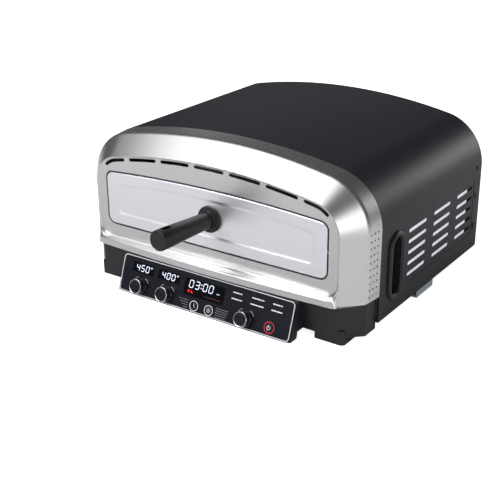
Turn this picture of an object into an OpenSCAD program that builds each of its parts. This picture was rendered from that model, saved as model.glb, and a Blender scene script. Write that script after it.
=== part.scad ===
// Countertop electric pizza oven: an arched steel casing on a moulded plinth, a pressed
// stainless front with a lift-out door, a sloping control panel and a stone-floored chamber.
// Millimetres. +X is the user's right, -Y the front, +Z up. Every piece is drawn from the
// front plane y = 0 and moved as one, so that the origin is under the middle of the oven.

/* [Casing] */
// Width of the casing
case_w = 480; // [470:1:500]
// Height of the casing's crown above the table
case_h = 248; // [244:1:262]
// Depth from the front plane to the back edge of the casing
case_d = 387; // [384:1:420]
// Radius of the two shoulders
shoulder_r = 76.8; // [70:0.2:82]
// Height of the casing's lower edge above the table
case_z = 21; // [20:0.5:23]
// Thickness of the folded steel sheet
sheet = 1.2; // [0.8:0.1:1.4]
// Width of the flange folded in along the casing's lower edges
case_flange_w = 12; // [10:1:14]
// Distance of the rear panel inside the casing's back edge
rear_recess = 10; // [9.5:0.5:14]

/* [Side vents] */
// Slots in each column of vents
vent_rows = 5; // [3:1:5]
// Distance between the rows of vents
vent_pitch_z = 16.5; // [14:0.5:17]
// Height of the lowest vent
vent_z = 61.5; // [59:0.5:64]
// Columns of vents on each side
vent_cols = 3; // [2:1:3]
// Distance between the columns of vents
vent_pitch_y = 80.2; // [76:0.2:82]
// Distance of the first column from the front plane
vent_y = 168.5; // [165:0.5:172]
// Length of a vent slot
vent_len = 55.5; // [48:0.5:58]
// Height of a vent slot
vent_h = 5.4; // [4:0.2:7]
// Margin of the sunk field around the vents
field_margin = 7; // [5:0.5:9]
// Depth of the sunk field around the vents
field_depth = 0.5; // [0.3:0.1:0.6]

/* [Bezel] */
// Distance of the joint between bezel and casing from the front plane
seam_y = 57.6; // [54:0.2:60]
// Width of the open joint between bezel and casing
seam_gap = 0.5; // [0.3:0.1:0.8]
// Distance of the ridge between side band and bevel from the front plane
ridge_y = 29.5; // [27:0.5:30]
// How far the side band draws in between the joint and the ridge
band_draft = 2.5; // [1.5:0.5:3]
// How far the bevel draws in for each millimetre towards the front
bevel_slope = 0.9; // [0.85:0.01:0.95]
// Height of the bezel's lower edge
bezel_z = 59.8; // [59.5:0.1:62]
// Thickness of the pressed stainless sheet
bezel_t = 1.4; // [1:0.1:1.8]
// Radius of the bezel's bulge from side to side
bow_r = 2700; // [2400:50:3200]
// How far the lip under the door stands before the front plane
lip_out = 17; // [16:0.5:18]
// How far the bulge stands before the front plane above the door
brow_out = 8; // [7:0.5:9]
// Height of the ledge under the door
sill_z = 72; // [71:0.5:74]
// Distance of the recess's floor inside the casing's outline
recess_in = 32; // [31.5:0.25:33]
// Depth of the recess behind the front plane
recess_y = 1; // [0.8:0.2:1.4]
// How far the wall of the recess draws in for each millimetre of its depth
recess_slope = 1; // [0.9:0.05:1.1]
// Radius of the two lower corners of the recess
recess_r = 18; // [14:1:22]
// Distance of the slots inside the casing's outline
slot_in = 36.2; // [36:0.1:37.5]
// Height of a slot in the bezel
slot_h = 5; // [4:0.2:5.6]
// Bridge between two slots
slot_bridge = 9; // [7:0.5:11]
// Length of a slot over the door
slot_len = 51; // [46:0.5:53]
// Angle that the two end slots turn around the shoulders
slot_turn = 29; // [20:1:32]
// Diameter of a perforation
perf_d = 2.8; // [2:0.1:3.2]
// Distance between perforations along the crown
perf_pitch_x = 9; // [8:0.5:12]
// Distance between perforations up the sides
perf_pitch_z = 9.9; // [9:0.1:11]
// Distance between the rows of perforations
perf_row = 8; // [7:0.25:8]
// Perforations in each upright row
perf_rows_z = 10; // [6:1:10]
// Distance of the first row of perforations behind the ridge
perf_first = 3.6; // [3:0.2:4.4]
// Half the width that the crown's perforations cover
perf_reach = 176; // [120:2:180]

/* [Door] */
// Distance from the casing's side to the opening
mouth_side = 47.5; // [47:0.5:49.5]
// Height of the opening's lower edge
mouth_z = 92.6; // [92:0.2:94]
// Height of the middle of the opening's bowed upper edge
mouth_top = 183.5; // [182:0.25:184]
// Radius of that upper edge
mouth_top_r = 2300; // [2100:50:2600]
// Radius of the opening's corners
mouth_r = 13; // [10:1:16]
// Gap around the door
door_gap = 2.2; // [1.6:0.1:2.6]
// How far the door's face lies behind the front plane
door_y = 0.4; // [0.2:0.1:0.8]
// Depth of the door's folded rim
door_rim = 9.6; // [8.5:0.1:10]
// Depth of the sunk field in the door
door_sink = 1.5; // [1:0.1:2]
// Distance from the opening's side to the door's sunk field
door_field_side = 21.5; // [19:0.5:30]
// Height of the sunk field's lower edge
door_field_z = 112.5; // [110:0.5:114]
// Height of the sunk field's crown
door_field_top = 166; // [165:0.5:168]
// Radius of the sunk field's upper edge
door_field_r = 1450; // [1300:10:1600]
// Depth of the plug behind the door's rim
plug_d = 20; // [16:1:22]
// Running gap around the plug
plug_gap = 2; // [1.6:0.1:2.4]
// Wall between the opening and the mouth behind it, at each side
mouth_step_x = 17.5; // [16:0.5:19]
// Wall between the opening and the mouth behind it, above and below
mouth_step_z = 8; // [7.5:0.1:9]
// Width of a spring tab that holds the door in
catch_h = 3; // [2:0.5:4]

/* [Handle] */
// Height of the handle's root on the door
handle_z = 139; // [137:0.5:141]
// Length of the handle from the door to its tip
handle_l = 114; // [105:1:120]
// Upward rise of the handle in degrees
handle_rise = 3; // [0:0.5:4]
// Diameter of the handle near its tip
handle_tip_d = 29; // [26:0.5:32]
// Diameter of the handle at its neck
handle_neck_d = 23.6; // [20:0.2:25]
// Diameter of the rosette
rosette_d = 38.5; // [34:0.5:42]
// Thickness of the rosette's flange
rosette_t = 5; // [4:0.5:6]
// Height of the raised collar on the rosette
collar_t = 4; // [3:0.5:5]
// Diameter of the stud through the door
stud_d = 6; // [5:0.5:8]
// Length of the stud inside the handle
stud_grip = 45; // [35:1:55]
// Length of the hanging slot
hang_l = 17; // [13:1:19]
// Width of the hanging slot
hang_w = 9; // [7:0.5:10]
// Distance of the hanging slot from the tip
hang_inset = 17; // [15:0.5:19]

/* [Chamber] */
// Distance from the casing's side to the chamber
chamber_side = 60; // [57:0.5:63]
// Height of the chamber's floor
chamber_z = 72; // [71:0.5:73]
// Height of the chamber
chamber_h = 120; // [116:1:124]
// Distance of the chamber's front wall from the front plane
chamber_y = 46; // [45:0.5:48]
// Distance from the chamber's back to the casing's back edge
chamber_rear = 31; // [30:0.5:35]
// Thickness of the insulation over the chamber
wool_top = 20; // [14:1:24]
// Thickness of the insulation at the sides
wool_side = 16; // [12:1:20]
// Thickness of the insulation behind the chamber
wool_back = 14; // [10:1:15]
// Thickness of the insulation under the chamber
wool_floor = 22; // [18:1:23]
// Gap between the stone and each side of the chamber
stone_side = 14; // [12:0.5:18]
// Gap between the stone and the chamber's front and back
stone_end = 7; // [5:0.5:10]
// Thickness of the pizza stone
stone_t = 10; // [8:0.5:11]
// Height of the stone's underside above the chamber's floor
stone_lift = 19; // [17.5:0.5:20]
// Radius of the stone's corners
stone_r = 12; // [8:1:20]
// Width of the ledges that carry the stone
ledge_w = 30; // [26:1:32]
// Thickness of the ledges that carry the stone
ledge_t = 3; // [2:0.5:3.5]

/* [Heating] */
// Diameter of the sheathed elements
tube_d = 8; // [6.5:0.5:8]
// Radius of the lower element's loop
lower_r = 118; // [100:1:125]
// Height of the lower element above the chamber's floor
lower_z = 8; // [7:0.5:9]
// Radius of the upper element's outer loop
upper_r = 130; // [115:1:135]
// Radius of the upper element's inner loop
upper_in_r = 74; // [60:1:85]
// Distance of the upper element under the chamber's roof
upper_drop = 14; // [12:0.5:16]
// Radius of the elements' bends
bend_r = 14; // [10:1:18]
// Half the distance between the lower element's terminals
lower_leg_x = 20; // [16:1:26]
// Half the distance between the upper element's outer terminals
upper_leg_x = 32; // [28:1:38]
// Distance of the upper element's inner terminal from the middle
upper_in_x = 8; // [6:1:12]
// How far the terminals stand out behind the insulation
terminal_out = 2.6; // [2:0.2:3]
// Thickness of the straps that hold the elements
strap_t = 3; // [2:0.5:4]
// Clearance between an element and the straps and plates round it
tube_gap = 0.5; // [0.4:0.1:0.8]
// Diameter of the temperature probes
probe_d = 4; // [3:0.5:4.5]
// Length of the probes inside the chamber
probe_in = 60; // [40:5:90]

/* [Base] */
// Distance of the plinth's face from the front plane
plinth_y = 4; // [3.6:0.2:5]
// Height of the plinth's lower edge
plinth_z = 12; // [11:0.5:14]
// Wall of the moulded plinth
plinth_t = 2.5; // [2:0.25:3]
// Half the width of the plinth's flat face
plinth_face = 208; // [204:1:210]
// How far the plinth's sides lie inside the casing's sides
plinth_in = 4; // [3:0.5:5]
// Height of the rubber pads
pad_h = 2; // [1.5:0.25:3]
// Diameter of the rear feet
foot_d = 30; // [24:1:34]
// Width of a front foot
front_foot_w = 45; // [38:1:48]
// Depth of a front foot
front_foot_d = 32; // [26:1:36]
// Length of a side leg
leg_l = 54; // [46:1:60]
// Distance of the side legs from the front plane
leg_y = 224; // [215:1:232]
// Width of a side leg
leg_w = 18; // [16:1:22]

/* [Control panel] */
// Width of the control panel
panel_w = 305; // [301:1:308]
// Height of the control panel along its slope
panel_h = 58.2; // [57:0.2:58.4]
// Slope of the control panel from upright, in degrees
panel_tilt = 20; // [19:0.5:21]
// Height of the panel's middle
panel_z = 29.5; // [29.3:0.1:29.8]
// How far the panel's middle stands before the front plane
panel_out = 20.5; // [20:0.25:21.5]
// Thickness of the panel
panel_t = 2; // [1.6:0.1:2.4]
// Radius of the panel's corners
panel_r = 7; // [5:0.5:9]
// Wall of the housing behind the panel
housing_t = 2.2; // [1.8:0.1:2.4]
// Width of the bright line round the panel
trim_w = 1.4; // [1:0.1:1.8]
// Distance of the bright line inside the panel's edge
trim_in = 1; // [0.8:0.1:1.4]
// Depth to which the windows and the bright line are let in
inlay = 0.8; // [0.5:0.1:1]
// Diameter of a knob
knob_d = 22; // [19:0.5:23]
// Height of a knob over the panel
knob_h = 13.5; // [12:0.5:16]
// Gap under a knob
knob_gap = 0.6; // [0.4:0.1:0.9]
// Diameter of a knob's shaft
shaft_d = 6; // [5:0.5:6.5]
// Running clearance round a shaft, on the radius
shaft_gap = 0.05; // [0.03:0.01:0.08]
// Distance of the knobs' axes below the panel's middle
knob_drop = 14.2; // [13.8:0.1:14.8]
// Diameter of the two small buttons
button_d = 15.5; // [13:0.5:16]
// Diameter of the power button
power_d = 12; // [10:0.5:13]
// How far the buttons stand out of the panel
button_out = 1.6; // [1.2:0.1:2.2]
// Travel of the buttons
button_travel = 0.8; // [0.5:0.1:1]
// Clearance round a button, on the radius
button_gap = 0.35; // [0.3:0.05:0.5]
// Distance of the circuit board behind the panel's face
board_back = 10; // [9.6:0.1:10.4]
// Thickness of the circuit boards
board_t = 1.6; // [1:0.1:2]

/* [Grips] */
// Length of a grip's rim
grip_h = 101; // [96:1:104]
// Width of a grip's rim
grip_w = 44; // [42:1:48]
// Width of the ring round a grip's pocket
grip_ring = 9; // [8:0.5:10]
// How far a grip's rim stands out of the casing
grip_out = 4.2; // [3:0.2:5]
// Depth of a grip's pocket from the casing's side
grip_deep = 24; // [20:0.5:25]
// Distance of the grips from the front plane
grip_y = 101.7; // [100:0.5:104]
// Height of the grips' middle
grip_z = 90.6; // [88:0.5:93]
// Wall of a grip's pocket
grip_t = 2; // [1.6:0.2:2.4]

/* [Hidden] */
$fn = 96;

half_w = case_w / 2;
shoulder_x = half_w - shoulder_r;
// The line from the crown's centre to a shoulder's centre is the long side of a 20:99:101 triangle
crown_rise = shoulder_x * 99 / 20;
crown_r = shoulder_r + shoulder_x * 101 / 20;
crown_a = atan(20 / 99);
crown_z = case_h - crown_r;
shoulder_z = crown_z + crown_rise;
skin_gap = 0.3;
far = 40;
big = 2 * case_w;

mouth_x = half_w - mouth_side;
door_field_x = mouth_x - door_field_side;
mouth_h = mouth_top - mouth_top_r + sqrt(pow(mouth_top_r, 2) - pow(mouth_x, 2)) - mouth_z;
mouth_mid = mouth_z + mouth_h / 2;
door_x = mouth_x - door_gap;
door_back = door_y + door_rim;
door_field_y = door_y + door_sink;
frame_y = door_back + 0.5;
plug_y = door_back + plug_d;
throat_x = mouth_x - mouth_step_x;
throat_h = mouth_h - 2 * mouth_step_z;
throat_r = 8;

grip_len = handle_l - rosette_t - collar_t;
tip_round = 3;
tip_face_d = handle_tip_d - 2 * tip_round;
front_reach = door_field_y - handle_l * cos(handle_rise) - tip_face_d / 2 * sin(handle_rise);
y_shift = -(case_d + front_reach) / 2;

chamber_x = half_w - chamber_side;
chamber_back_y = case_d - chamber_rear;
chamber_top = chamber_z + chamber_h;
rail_flange = 12;
pan_z = case_z + sheet;
pan_top = pan_z + sheet;
stone_z = chamber_z + stone_lift;
stone_y = (chamber_y + chamber_back_y) / 2;
stone_w = 2 * (chamber_x - stone_side);
stone_d = chamber_back_y - chamber_y - 2 * stone_end;
element_y = stone_y;
lower_h = chamber_z + lower_z;
upper_h = chamber_top - upper_drop;
joint_d = tube_d + 0.1;
element_end = chamber_back_y + wool_back + terminal_out;
rear_y = case_d - rear_recess - sheet;
shield_in = 9;
gland_x = -165;
gland_z = 52;
gland_bore = 8.4;
gland_d = 20;
probe_x = 100;
door_field_corner = 8;
screw_d = 2.8;
screw_l = 4.5;
screw_head_d = 7;
screw_head_t = 1.2;

shaft_u = [-112.7, -63.7, 77];
button_u = [-10.5, 15.7];
button_v = -18.3;
power_u = 117.7;
power_v = -16;
window_u = [-112.7, -63.7, 1.5];
window_v = [12.6, 12.4, 6.6];
window_w = [40, 40, 71];
window_h = [15, 14.5, 25];
encoder_w = 12;
bushing_d = 9;
switch_w = 6;
switch_h = 3.4;

// Moves a piece from the front plane's frame to the oven's own
module place() {
    translate([0, y_shift, 0]) children();
}

// Extrudes an outline drawn in X and Z from y0 back to y1
module slab_y(y0, y1) {
    translate([0, y1, 0]) rotate([90, 0, 0]) linear_extrude(height=y1 - y0) children();
}

// Extrudes an outline drawn in Y and Z from x0 to x1
module slab_x(x0, x1) {
    translate([x0, 0, 0]) rotate([90, 0, 90]) linear_extrude(height=x1 - x0) children();
}

// A box between two corners
module box(a, b) {
    translate(a) cube(b - a);
}

// A rectangle with round corners, centred
module rounded(w, h, r) {
    square([w - 2 * r, h], center=true);
    square([w, h - 2 * r], center=true);
    for (x = [-1, 1], y = [-1, 1])
        translate([x * (w / 2 - r), y * (h / 2 - r)]) circle(r=r);
}

// The casing's arched outline, drawn in by e, with a flat lower edge at z0
module arch(e, z0) {
    intersection() {
        union() {
            for (s = [-1, 1]) translate([s * shoulder_x, shoulder_z]) circle(r=shoulder_r - e);
            intersection() {
                translate([0, crown_z]) circle(r=crown_r - e);
                polygon([
                    [0, crown_z],
                    [2 * shoulder_x, 2 * shoulder_z - crown_z],
                    [-2 * shoulder_x, 2 * shoulder_z - crown_z]
                ]);
            }
            translate([e - half_w, z0]) square([case_w - 2 * e, shoulder_z - z0]);
        }
        translate([-big / 2, z0]) square([big, big]);
    }
}

// Turns a profile of [inset, y] points round an axis along Y
module turned(r, profile) {
    outline = [for (p = profile) [r - p[0], -p[1]]];
    first = profile[0];
    last = profile[len(profile) - 1];
    rotate([90, 0, 0]) rotate([0, 0, -90]) rotate_extrude()
        polygon(concat([[0, -first[1]]], outline, [[0, -last[1]]]));
}

// A solid whose arched section draws in along Y as the profile says, down to z0
module arch_body(profile, z0) {
    y0 = profile[0][1];
    y1 = profile[len(profile) - 1][1];
    right = [for (p = profile) [half_w - p[0], p[1]]];
    left = [for (i = [len(profile) - 1:-1:0]) [profile[i][0] - half_w, profile[i][1]]];
    out_x = 2 * shoulder_x;
    out_z = crown_z + 2 * crown_rise;
    intersection() {
        translate([0, 0, crown_z]) turned(crown_r, profile);
        slab_y(y0 - 1, y1 + 1) polygon([
            [-shoulder_x, shoulder_z], [shoulder_x, shoulder_z], [out_x, out_z], [-out_x, out_z]
        ]);
    }
    for (s = [-1, 1]) intersection() {
        translate([s * shoulder_x, 0, shoulder_z]) turned(shoulder_r, profile);
        slab_y(y0 - 1, y1 + 1) polygon([
            [s * shoulder_x, shoulder_z], [s * out_x, out_z], [s * case_w, out_z],
            [s * case_w, shoulder_z]
        ]);
    }
    translate([0, 0, z0]) linear_extrude(height=shoulder_z - z0) polygon(concat(right, left));
}

// The bezel's bulging front: all that lies behind it, t deep
module bulge(t) {
    rise = case_h - bezel_z;
    lean = atan((lip_out - brow_out) / (case_h - slot_in - sill_z));
    translate([0, t - lip_out, bezel_z]) rotate([-lean, 0, 0])
        translate([0, bow_r, -rise]) cylinder(r=bow_r, h=3 * rise, $fn=360);
}

// The bezel's filled form, t inside its skin, that ends over behind the joint
module bezel_form(t, z0, over=0) {
    skew = 1.25;
    front = -far / 2 - 5;
    intersection() {
        arch_body([
            [band_draft + bevel_slope * (ridge_y - front) + t * skew, front],
            [band_draft + t * skew, ridge_y],
            [t, seam_y + over]
        ], z0);
        bulge(t);
    }
}

// The recess round the door, t larger than it shows
module recess(t) {
    front = -far / 2 - 5;
    side = half_w - recess_in + 3 + t;
    intersection() {
        arch_body([
            [recess_in - recess_slope * (recess_y - front) - t, front],
            [recess_in - t, recess_y + t]
        ], sill_z - t);
        slab_y(front - 1, recess_y + t + 1) union() {
            translate([recess_r - side, sill_z - t]) square([2 * (side - recess_r), case_h]);
            translate([-side, sill_z - t + recess_r]) square([2 * side, case_h]);
            for (s = [-1, 1]) translate([s * (side - recess_r), sill_z - t + recess_r])
                circle(r=recess_r);
        }
    }
}

// Puts a child on the crown, x to the right of the middle
module on_crown(x) {
    translate([0, 0, crown_z]) rotate([0, asin(x / crown_r), 0]) translate([0, 0, crown_r])
        children();
}

// A curved slot round an axis along Y; its ends are round, each drawn in by its relief
module curved_slot(r, from, to, relief) {
    rotate([90, 0, 0]) rotate([0, 0, from]) rotate_extrude(angle=to - from)
        translate([r - slot_h / 2, -recess_y - bezel_t - 1]) square([slot_h, far]);
    ends = [from, to];
    for (i = [0, 1])
        rotate([0, -ends[i], 0]) translate([r, recess_y + bezel_t + 1, 0])
            rotate([90, 0, 0]) cylinder(d=slot_h - relief[i], h=far);
}

// The seven slots that follow the top of the recess
module bezel_slots() {
    end_relief = slot_h / 100;
    r = crown_r - slot_in;
    pitch = slot_len + slot_bridge;
    step = pitch / r * 180 / PI;
    half = (slot_len - slot_h) / 2 / r * 180 / PI;
    translate([0, 0, crown_z]) for (i = [-2:2])
        curved_slot(r, 90 + i * step - half, 90 + i * step + half, [end_relief, end_relief]);
    // The end slots start on the crown's curve and turn on round the shoulders
    start = 90 - 2 * step - half - (slot_bridge + slot_h) / r * 180 / PI;
    for (s = [0, 1]) mirror([s, 0, 0]) {
        translate([0, 0, crown_z])
            curved_slot(r, min(90 - crown_a, start), start, [0, end_relief]);
        translate([shoulder_x, 0, shoulder_z])
            curved_slot(shoulder_r - slot_in, 90 - crown_a - slot_turn, 90 - crown_a,
                [end_relief, 0]);
    }
}

// Three rows of holes over the crown and three upright rows at each side
module perforations() {
    count = floor(perf_reach / perf_pitch_x);
    for (row = [0:2]) {
        y = ridge_y + perf_first + row * perf_row;
        for (i = [-count:count])
            on_crown(i * perf_pitch_x)
                translate([0, y, -far / 2]) cylinder(d=perf_d, h=far);
        for (i = [0:perf_rows_z - 1], s = [-1, 1])
            translate([s * half_w, y, bezel_z + perf_pitch_z * (i + 0.9)]) rotate([0, 90, 0])
                cylinder(d=perf_d, h=far / 4, center=true);
    }
}

// A rounded outline from z0 up to a bowed upper edge whose middle is at top
module bowed(half, z0, top, bow_r, r) {
    x = half - r;
    // The upper corners reach a little over the bow, which cuts them
    corner = top - bow_r + sqrt(pow(bow_r, 2) - pow(x, 2)) - r + 0.1;
    intersection() {
        union() {
            translate([-x, z0]) square([2 * x, top - z0 + 1]);
            translate([-half, z0 + r]) square([2 * half, corner - z0 - r]);
            for (s = [-1, 1], z = [z0 + r, corner]) translate([s * x, z]) circle(r=r);
        }
        translate([0, top - bow_r]) circle(r=bow_r, $fn=360);
    }
}

// The opening's outline, grown by e
module mouth_outline(e) {
    bowed(mouth_x + e, mouth_z - e, mouth_top + e, mouth_top_r + e, mouth_r + e);
}

// The throat's outline behind the opening, grown by e
module throat_outline(e) {
    translate([0, mouth_mid]) rounded(2 * (throat_x + e), throat_h + 2 * e, throat_r + e);
}

// The outline of the door's sunk field, grown by e
module field_outline(e) {
    bowed(door_field_x + e, door_field_z - e, door_field_top + e, door_field_r + e, door_field_corner + e);
}

// A racetrack outline, upright
module racetrack(w, h) {
    square([w, h - w], center=true);
    for (s = [-1, 1]) translate([0, s * (h - w) / 2]) circle(d=w);
}

// Centres of the side vents as [y, z]
function vents() = [
    for (c = [0:vent_cols - 1], r = [0:vent_rows - 1])
        [vent_y + c * vent_pitch_y, vent_z + r * vent_pitch_z]
];

// A lying slot outline in Y and Z
module vent_outline() {
    square([vent_len - vent_h, vent_h], center=true);
    for (s = [-1, 1]) translate([s * (vent_len - vent_h) / 2, 0]) circle(d=vent_h);
}

// The frame of the sloping panel: +X along it, +Y up its slope, +Z out of its face
module on_panel() {
    translate([0, -panel_out, panel_z]) rotate([90 - panel_tilt, 0, 0]) children();
}

// A point of the panel's frame, v up the slope and n out of the face, as [y, z]
function panel_point(v, n) = [
    -panel_out + v * sin(panel_tilt) - n * cos(panel_tilt),
    panel_z + v * cos(panel_tilt) + n * sin(panel_tilt)
];

// The frame of the handle: +Z out along its axis
module on_handle() {
    translate([0, door_field_y, handle_z]) rotate([90 - handle_rise, 0, 0]) children();
}

// Puts a child at each screw of the rear panel, Z inwards from the head's outer face
module at_screws() {
    for (s = [-1, 1], z = [60, 110, shoulder_z])
        translate([s * (half_w + screw_head_t), rear_y - 4, z]) rotate([0, -s * 90, 0]) children();
}

module casing_shell() color("#2b2c31") place() {
    y0 = seam_y + seam_gap;
    lip_in = bezel_t + 1;
    low = vents()[0];
    high = vents()[len(vents()) - 1];
    mid = (low + high) / 2;
    span = high - low;
    difference() {
        union() {
            difference() {
                slab_y(y0, case_d) arch(0, case_z);
                slab_y(y0 + sheet, case_d + 1) arch(sheet, case_z + sheet);
                slab_y(y0 - 1, case_d) arch(lip_in + sheet, case_z + sheet);
            }
            // The front edge is folded in and forms a lip that reaches behind the bezel
            difference() {
                slab_y(y0 - 8, y0 + sheet) arch(lip_in, bezel_z + lip_in);
                slab_y(y0 - 9, y0 + 2 * sheet) arch(lip_in + sheet, bezel_z);
            }
        }
        box([case_flange_w - half_w, y0 - 1, case_z - 1],
            [half_w - case_flange_w, case_d + 1, case_z + 2 * sheet]);
        for (s = [0, 1]) mirror([s, 0, 0]) {
            slab_x(half_w - 2 * sheet, half_w + sheet) {
                for (p = vents()) translate(p) vent_outline();
                translate([grip_y, grip_z])
                    racetrack(grip_w - grip_ring - 1, grip_h - grip_ring - 1);
            }
            slab_x(half_w - field_depth, half_w + sheet) translate(mid)
                rounded(span[0] + vent_len + 2 * field_margin, span[1] + vent_h + 3 * field_margin, 8);
        }
        at_screws() cylinder(d=screw_d + 0.1, h=screw_l + 1);
    }
}

module rear_panel() color("#2e2f34") place() {
    e = sheet + skin_gap;
    difference() {
        union() {
            slab_y(rear_y, rear_y + sheet) arch(e, pan_top + skin_gap);
            difference() {
                slab_y(rear_y - 8, rear_y + sheet) arch(e, pan_top + skin_gap);
                slab_y(rear_y - 9, rear_y + 2 * sheet) arch(e + sheet, pan_top + skin_gap + sheet);
            }
        }
        for (s = [-1, 1], r = [0:5]) translate([s * 95, rear_y - 1, 92 + r * 14]) slab_y(0, 2 + sheet)
            rounded(110, 5, 2.4);
        translate([gland_x, rear_y - 1, gland_z]) rotate([-90, 0, 0]) cylinder(d=gland_d, h=2 + sheet);
        at_screws() cylinder(d=screw_d + 0.1, h=screw_l + 1);
    }
}

module front_bezel() color("#c9c9c5") place() {
    difference() {
        union() {
            difference() {
                bezel_form(0, bezel_z);
                difference() {
                    bezel_form(bezel_t, bezel_z + bezel_t, over=1);
                    recess(bezel_t);
                }
                recess(0);
                box([bezel_t + 8 - half_w, recess_y + 8, bezel_z - 1],
                    [half_w - bezel_t - 8, seam_y + 1, bezel_z + 2 * bezel_t]);
            }
            slab_y(recess_y, frame_y) mouth_outline(bezel_t);
        }
        slab_y(-far, frame_y + 1) mouth_outline(0);
        bezel_slots();
        perforations();
    }
}

module mouth_frame() color("#9b9c9c") place() {
    difference() {
        union() {
            slab_y(frame_y, frame_y + sheet) mouth_outline(8);
            slab_y(frame_y, chamber_y + 2 * sheet) throat_outline(sheet);
        }
        slab_y(frame_y - 1, chamber_y + 3 * sheet) throat_outline(0);
    }
}

module chamber_floor() color("#8f9090") place() {
    box([-chamber_x - sheet, chamber_y, chamber_z - sheet],
        [chamber_x + sheet, chamber_back_y, chamber_z]);
}

module chamber_roof() color("#8f9090") place() {
    box([-chamber_x - sheet, chamber_y, chamber_top],
        [chamber_x + sheet, chamber_back_y, chamber_top + sheet]);
}

module chamber_side(s) color("#8f9090") place() {
    mirror([s < 0 ? 1 : 0, 0, 0])
        box([chamber_x, chamber_y + sheet, chamber_z],
            [chamber_x + sheet, chamber_back_y - sheet, chamber_top]);
}

module chamber_left() chamber_side(-1);

module chamber_right() chamber_side(1);

module chamber_front() color("#8f9090") place() {
    difference() {
        box([-chamber_x - sheet, chamber_y, chamber_z],
            [chamber_x + sheet, chamber_y + sheet, chamber_top]);
        slab_y(chamber_y - 1, chamber_y + 2 * sheet) throat_outline(sheet + 0.1);
    }
}

// Places a child at each spot where an element or a probe leaves the chamber
module at_terminals() {
    for (x = [-lower_leg_x, lower_leg_x]) translate([x, 0, lower_h]) children();
    for (x = [-upper_leg_x, -upper_in_x]) translate([x, 0, upper_h]) children();
}

module at_probes() {
    translate([probe_x, 0, upper_h]) children();
    translate([probe_x, 0, lower_h]) children();
}

module chamber_back() color("#8f9090") place() {
    difference() {
        box([-chamber_x - sheet, chamber_back_y - sheet, chamber_z],
            [chamber_x + sheet, chamber_back_y, chamber_top]);
        at_terminals() translate([0, chamber_back_y - far / 2, 0]) rotate([-90, 0, 0])
            cylinder(d=tube_d + 2 * tube_gap, h=far);
        at_probes() translate([0, chamber_back_y - far / 2, 0]) rotate([-90, 0, 0])
            cylinder(d=probe_d + 2 * tube_gap, h=far);
    }
}

// Two channels that carry the chamber on the bottom pan
module chamber_rails() color("#b9bcbf") place() {
    low = pan_top;
    high = chamber_z - sheet;
    for (y = [chamber_y + 22, chamber_back_y - 34]) difference() {
        box([-chamber_x, y, low], [chamber_x, y + rail_flange, high]);
        box([-chamber_x - 1, y + sheet, low + sheet], [chamber_x + 1, y + far, high - sheet]);
    }
}

module stone_ledges() color("#8f9090") place() {
    for (s = [0, 1]) mirror([s, 0, 0])
        box([chamber_x - ledge_w, stone_y - stone_d / 2 + 4, stone_z - ledge_t],
            [chamber_x, stone_y + stone_d / 2 - 4, stone_z]);
}

module pizza_stone() color("#c9b48f") place() {
    translate([0, stone_y, stone_z]) linear_extrude(height=stone_t)
        rounded(stone_w, stone_d, stone_r);
}

// Part of a ring of tube between two angles
module tube_arc(r, from, to) {
    rotate([0, 0, from]) rotate_extrude(angle=to - from) translate([r, 0]) circle(d=tube_d);
}

// The angle at which a run at x leaves a loop of radius r
function leave_a(r, x) = asin((x + bend_r) / (r + bend_r));

// Where the bend from a loop of radius r to a run at x ends
function leave_y(r, x) = element_y + sqrt(pow(r + bend_r, 2) - pow(x + bend_r, 2));

// The bend from a loop of radius r to a run at -x, with the joints at its ends
module loop_bend(r, x) {
    a = leave_a(r, x);
    translate([-x - bend_r, leave_y(r, x), 0]) {
        tube_arc(bend_r, a - 90, 0);
        for (t = [a - 90, 0]) rotate([0, 0, t]) translate([bend_r, 0, 0]) sphere(d=joint_d);
    }
}

// A straight run of tube along Y
module tube_run(x, y0, y1) {
    translate([x, y0, 0]) rotate([-90, 0, 0]) cylinder(d=tube_d, h=y1 - y0);
}

module upper_element() color("#6f6a66") place() translate([0, 0, upper_h]) {
    // The outer loop turns in at its right end and runs forward to the inner loop
    turn_a = asin((upper_leg_x + bend_r) / (upper_r - bend_r));
    turn_y = element_y + (upper_r - bend_r) * cos(turn_a);
    translate([0, element_y, 0])
        tube_arc(upper_r, 90 + leave_a(upper_r, upper_leg_x), 450 - turn_a);
    loop_bend(upper_r, upper_leg_x);
    tube_run(-upper_leg_x, leave_y(upper_r, upper_leg_x), element_end);
    translate([upper_leg_x + bend_r, turn_y, 0]) {
        tube_arc(bend_r, 90 - turn_a, 180);
        for (t = [90 - turn_a, 180]) rotate([0, 0, t]) translate([bend_r, 0, 0]) sphere(d=joint_d);
    }
    tube_run(upper_leg_x, leave_y(upper_in_r, upper_leg_x), turn_y);
    mirror([1, 0, 0]) loop_bend(upper_in_r, upper_leg_x);
    translate([0, element_y, 0]) tube_arc(upper_in_r,
        90 + leave_a(upper_in_r, upper_in_x), 450 - leave_a(upper_in_r, upper_leg_x));
    loop_bend(upper_in_r, upper_in_x);
    tube_run(-upper_in_x, leave_y(upper_in_r, upper_in_x), element_end);
}

module lower_element() color("#6f6a66") place() translate([0, 0, lower_h]) {
    a = leave_a(lower_r, lower_leg_x);
    translate([0, element_y, 0]) tube_arc(lower_r, 90 + a, 450 - a);
    for (s = [0, 1]) mirror([s, 0, 0]) {
        loop_bend(lower_r, lower_leg_x);
        tube_run(-lower_leg_x, leave_y(lower_r, lower_leg_x), element_end);
    }
}

// A strap of sheet across a tube at the side of a loop, from z0 to z1
module strap(x, h, z0, z1) {
    w = tube_d + 8;
    difference() {
        box([x - w / 2, element_y - strap_t / 2, z0], [x + w / 2, element_y + strap_t / 2, z1]);
        translate([x, element_y, h]) rotate([90, 0, 0])
            cylinder(d=tube_d + 2 * skin_gap, h=far, center=true);
    }
}

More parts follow.
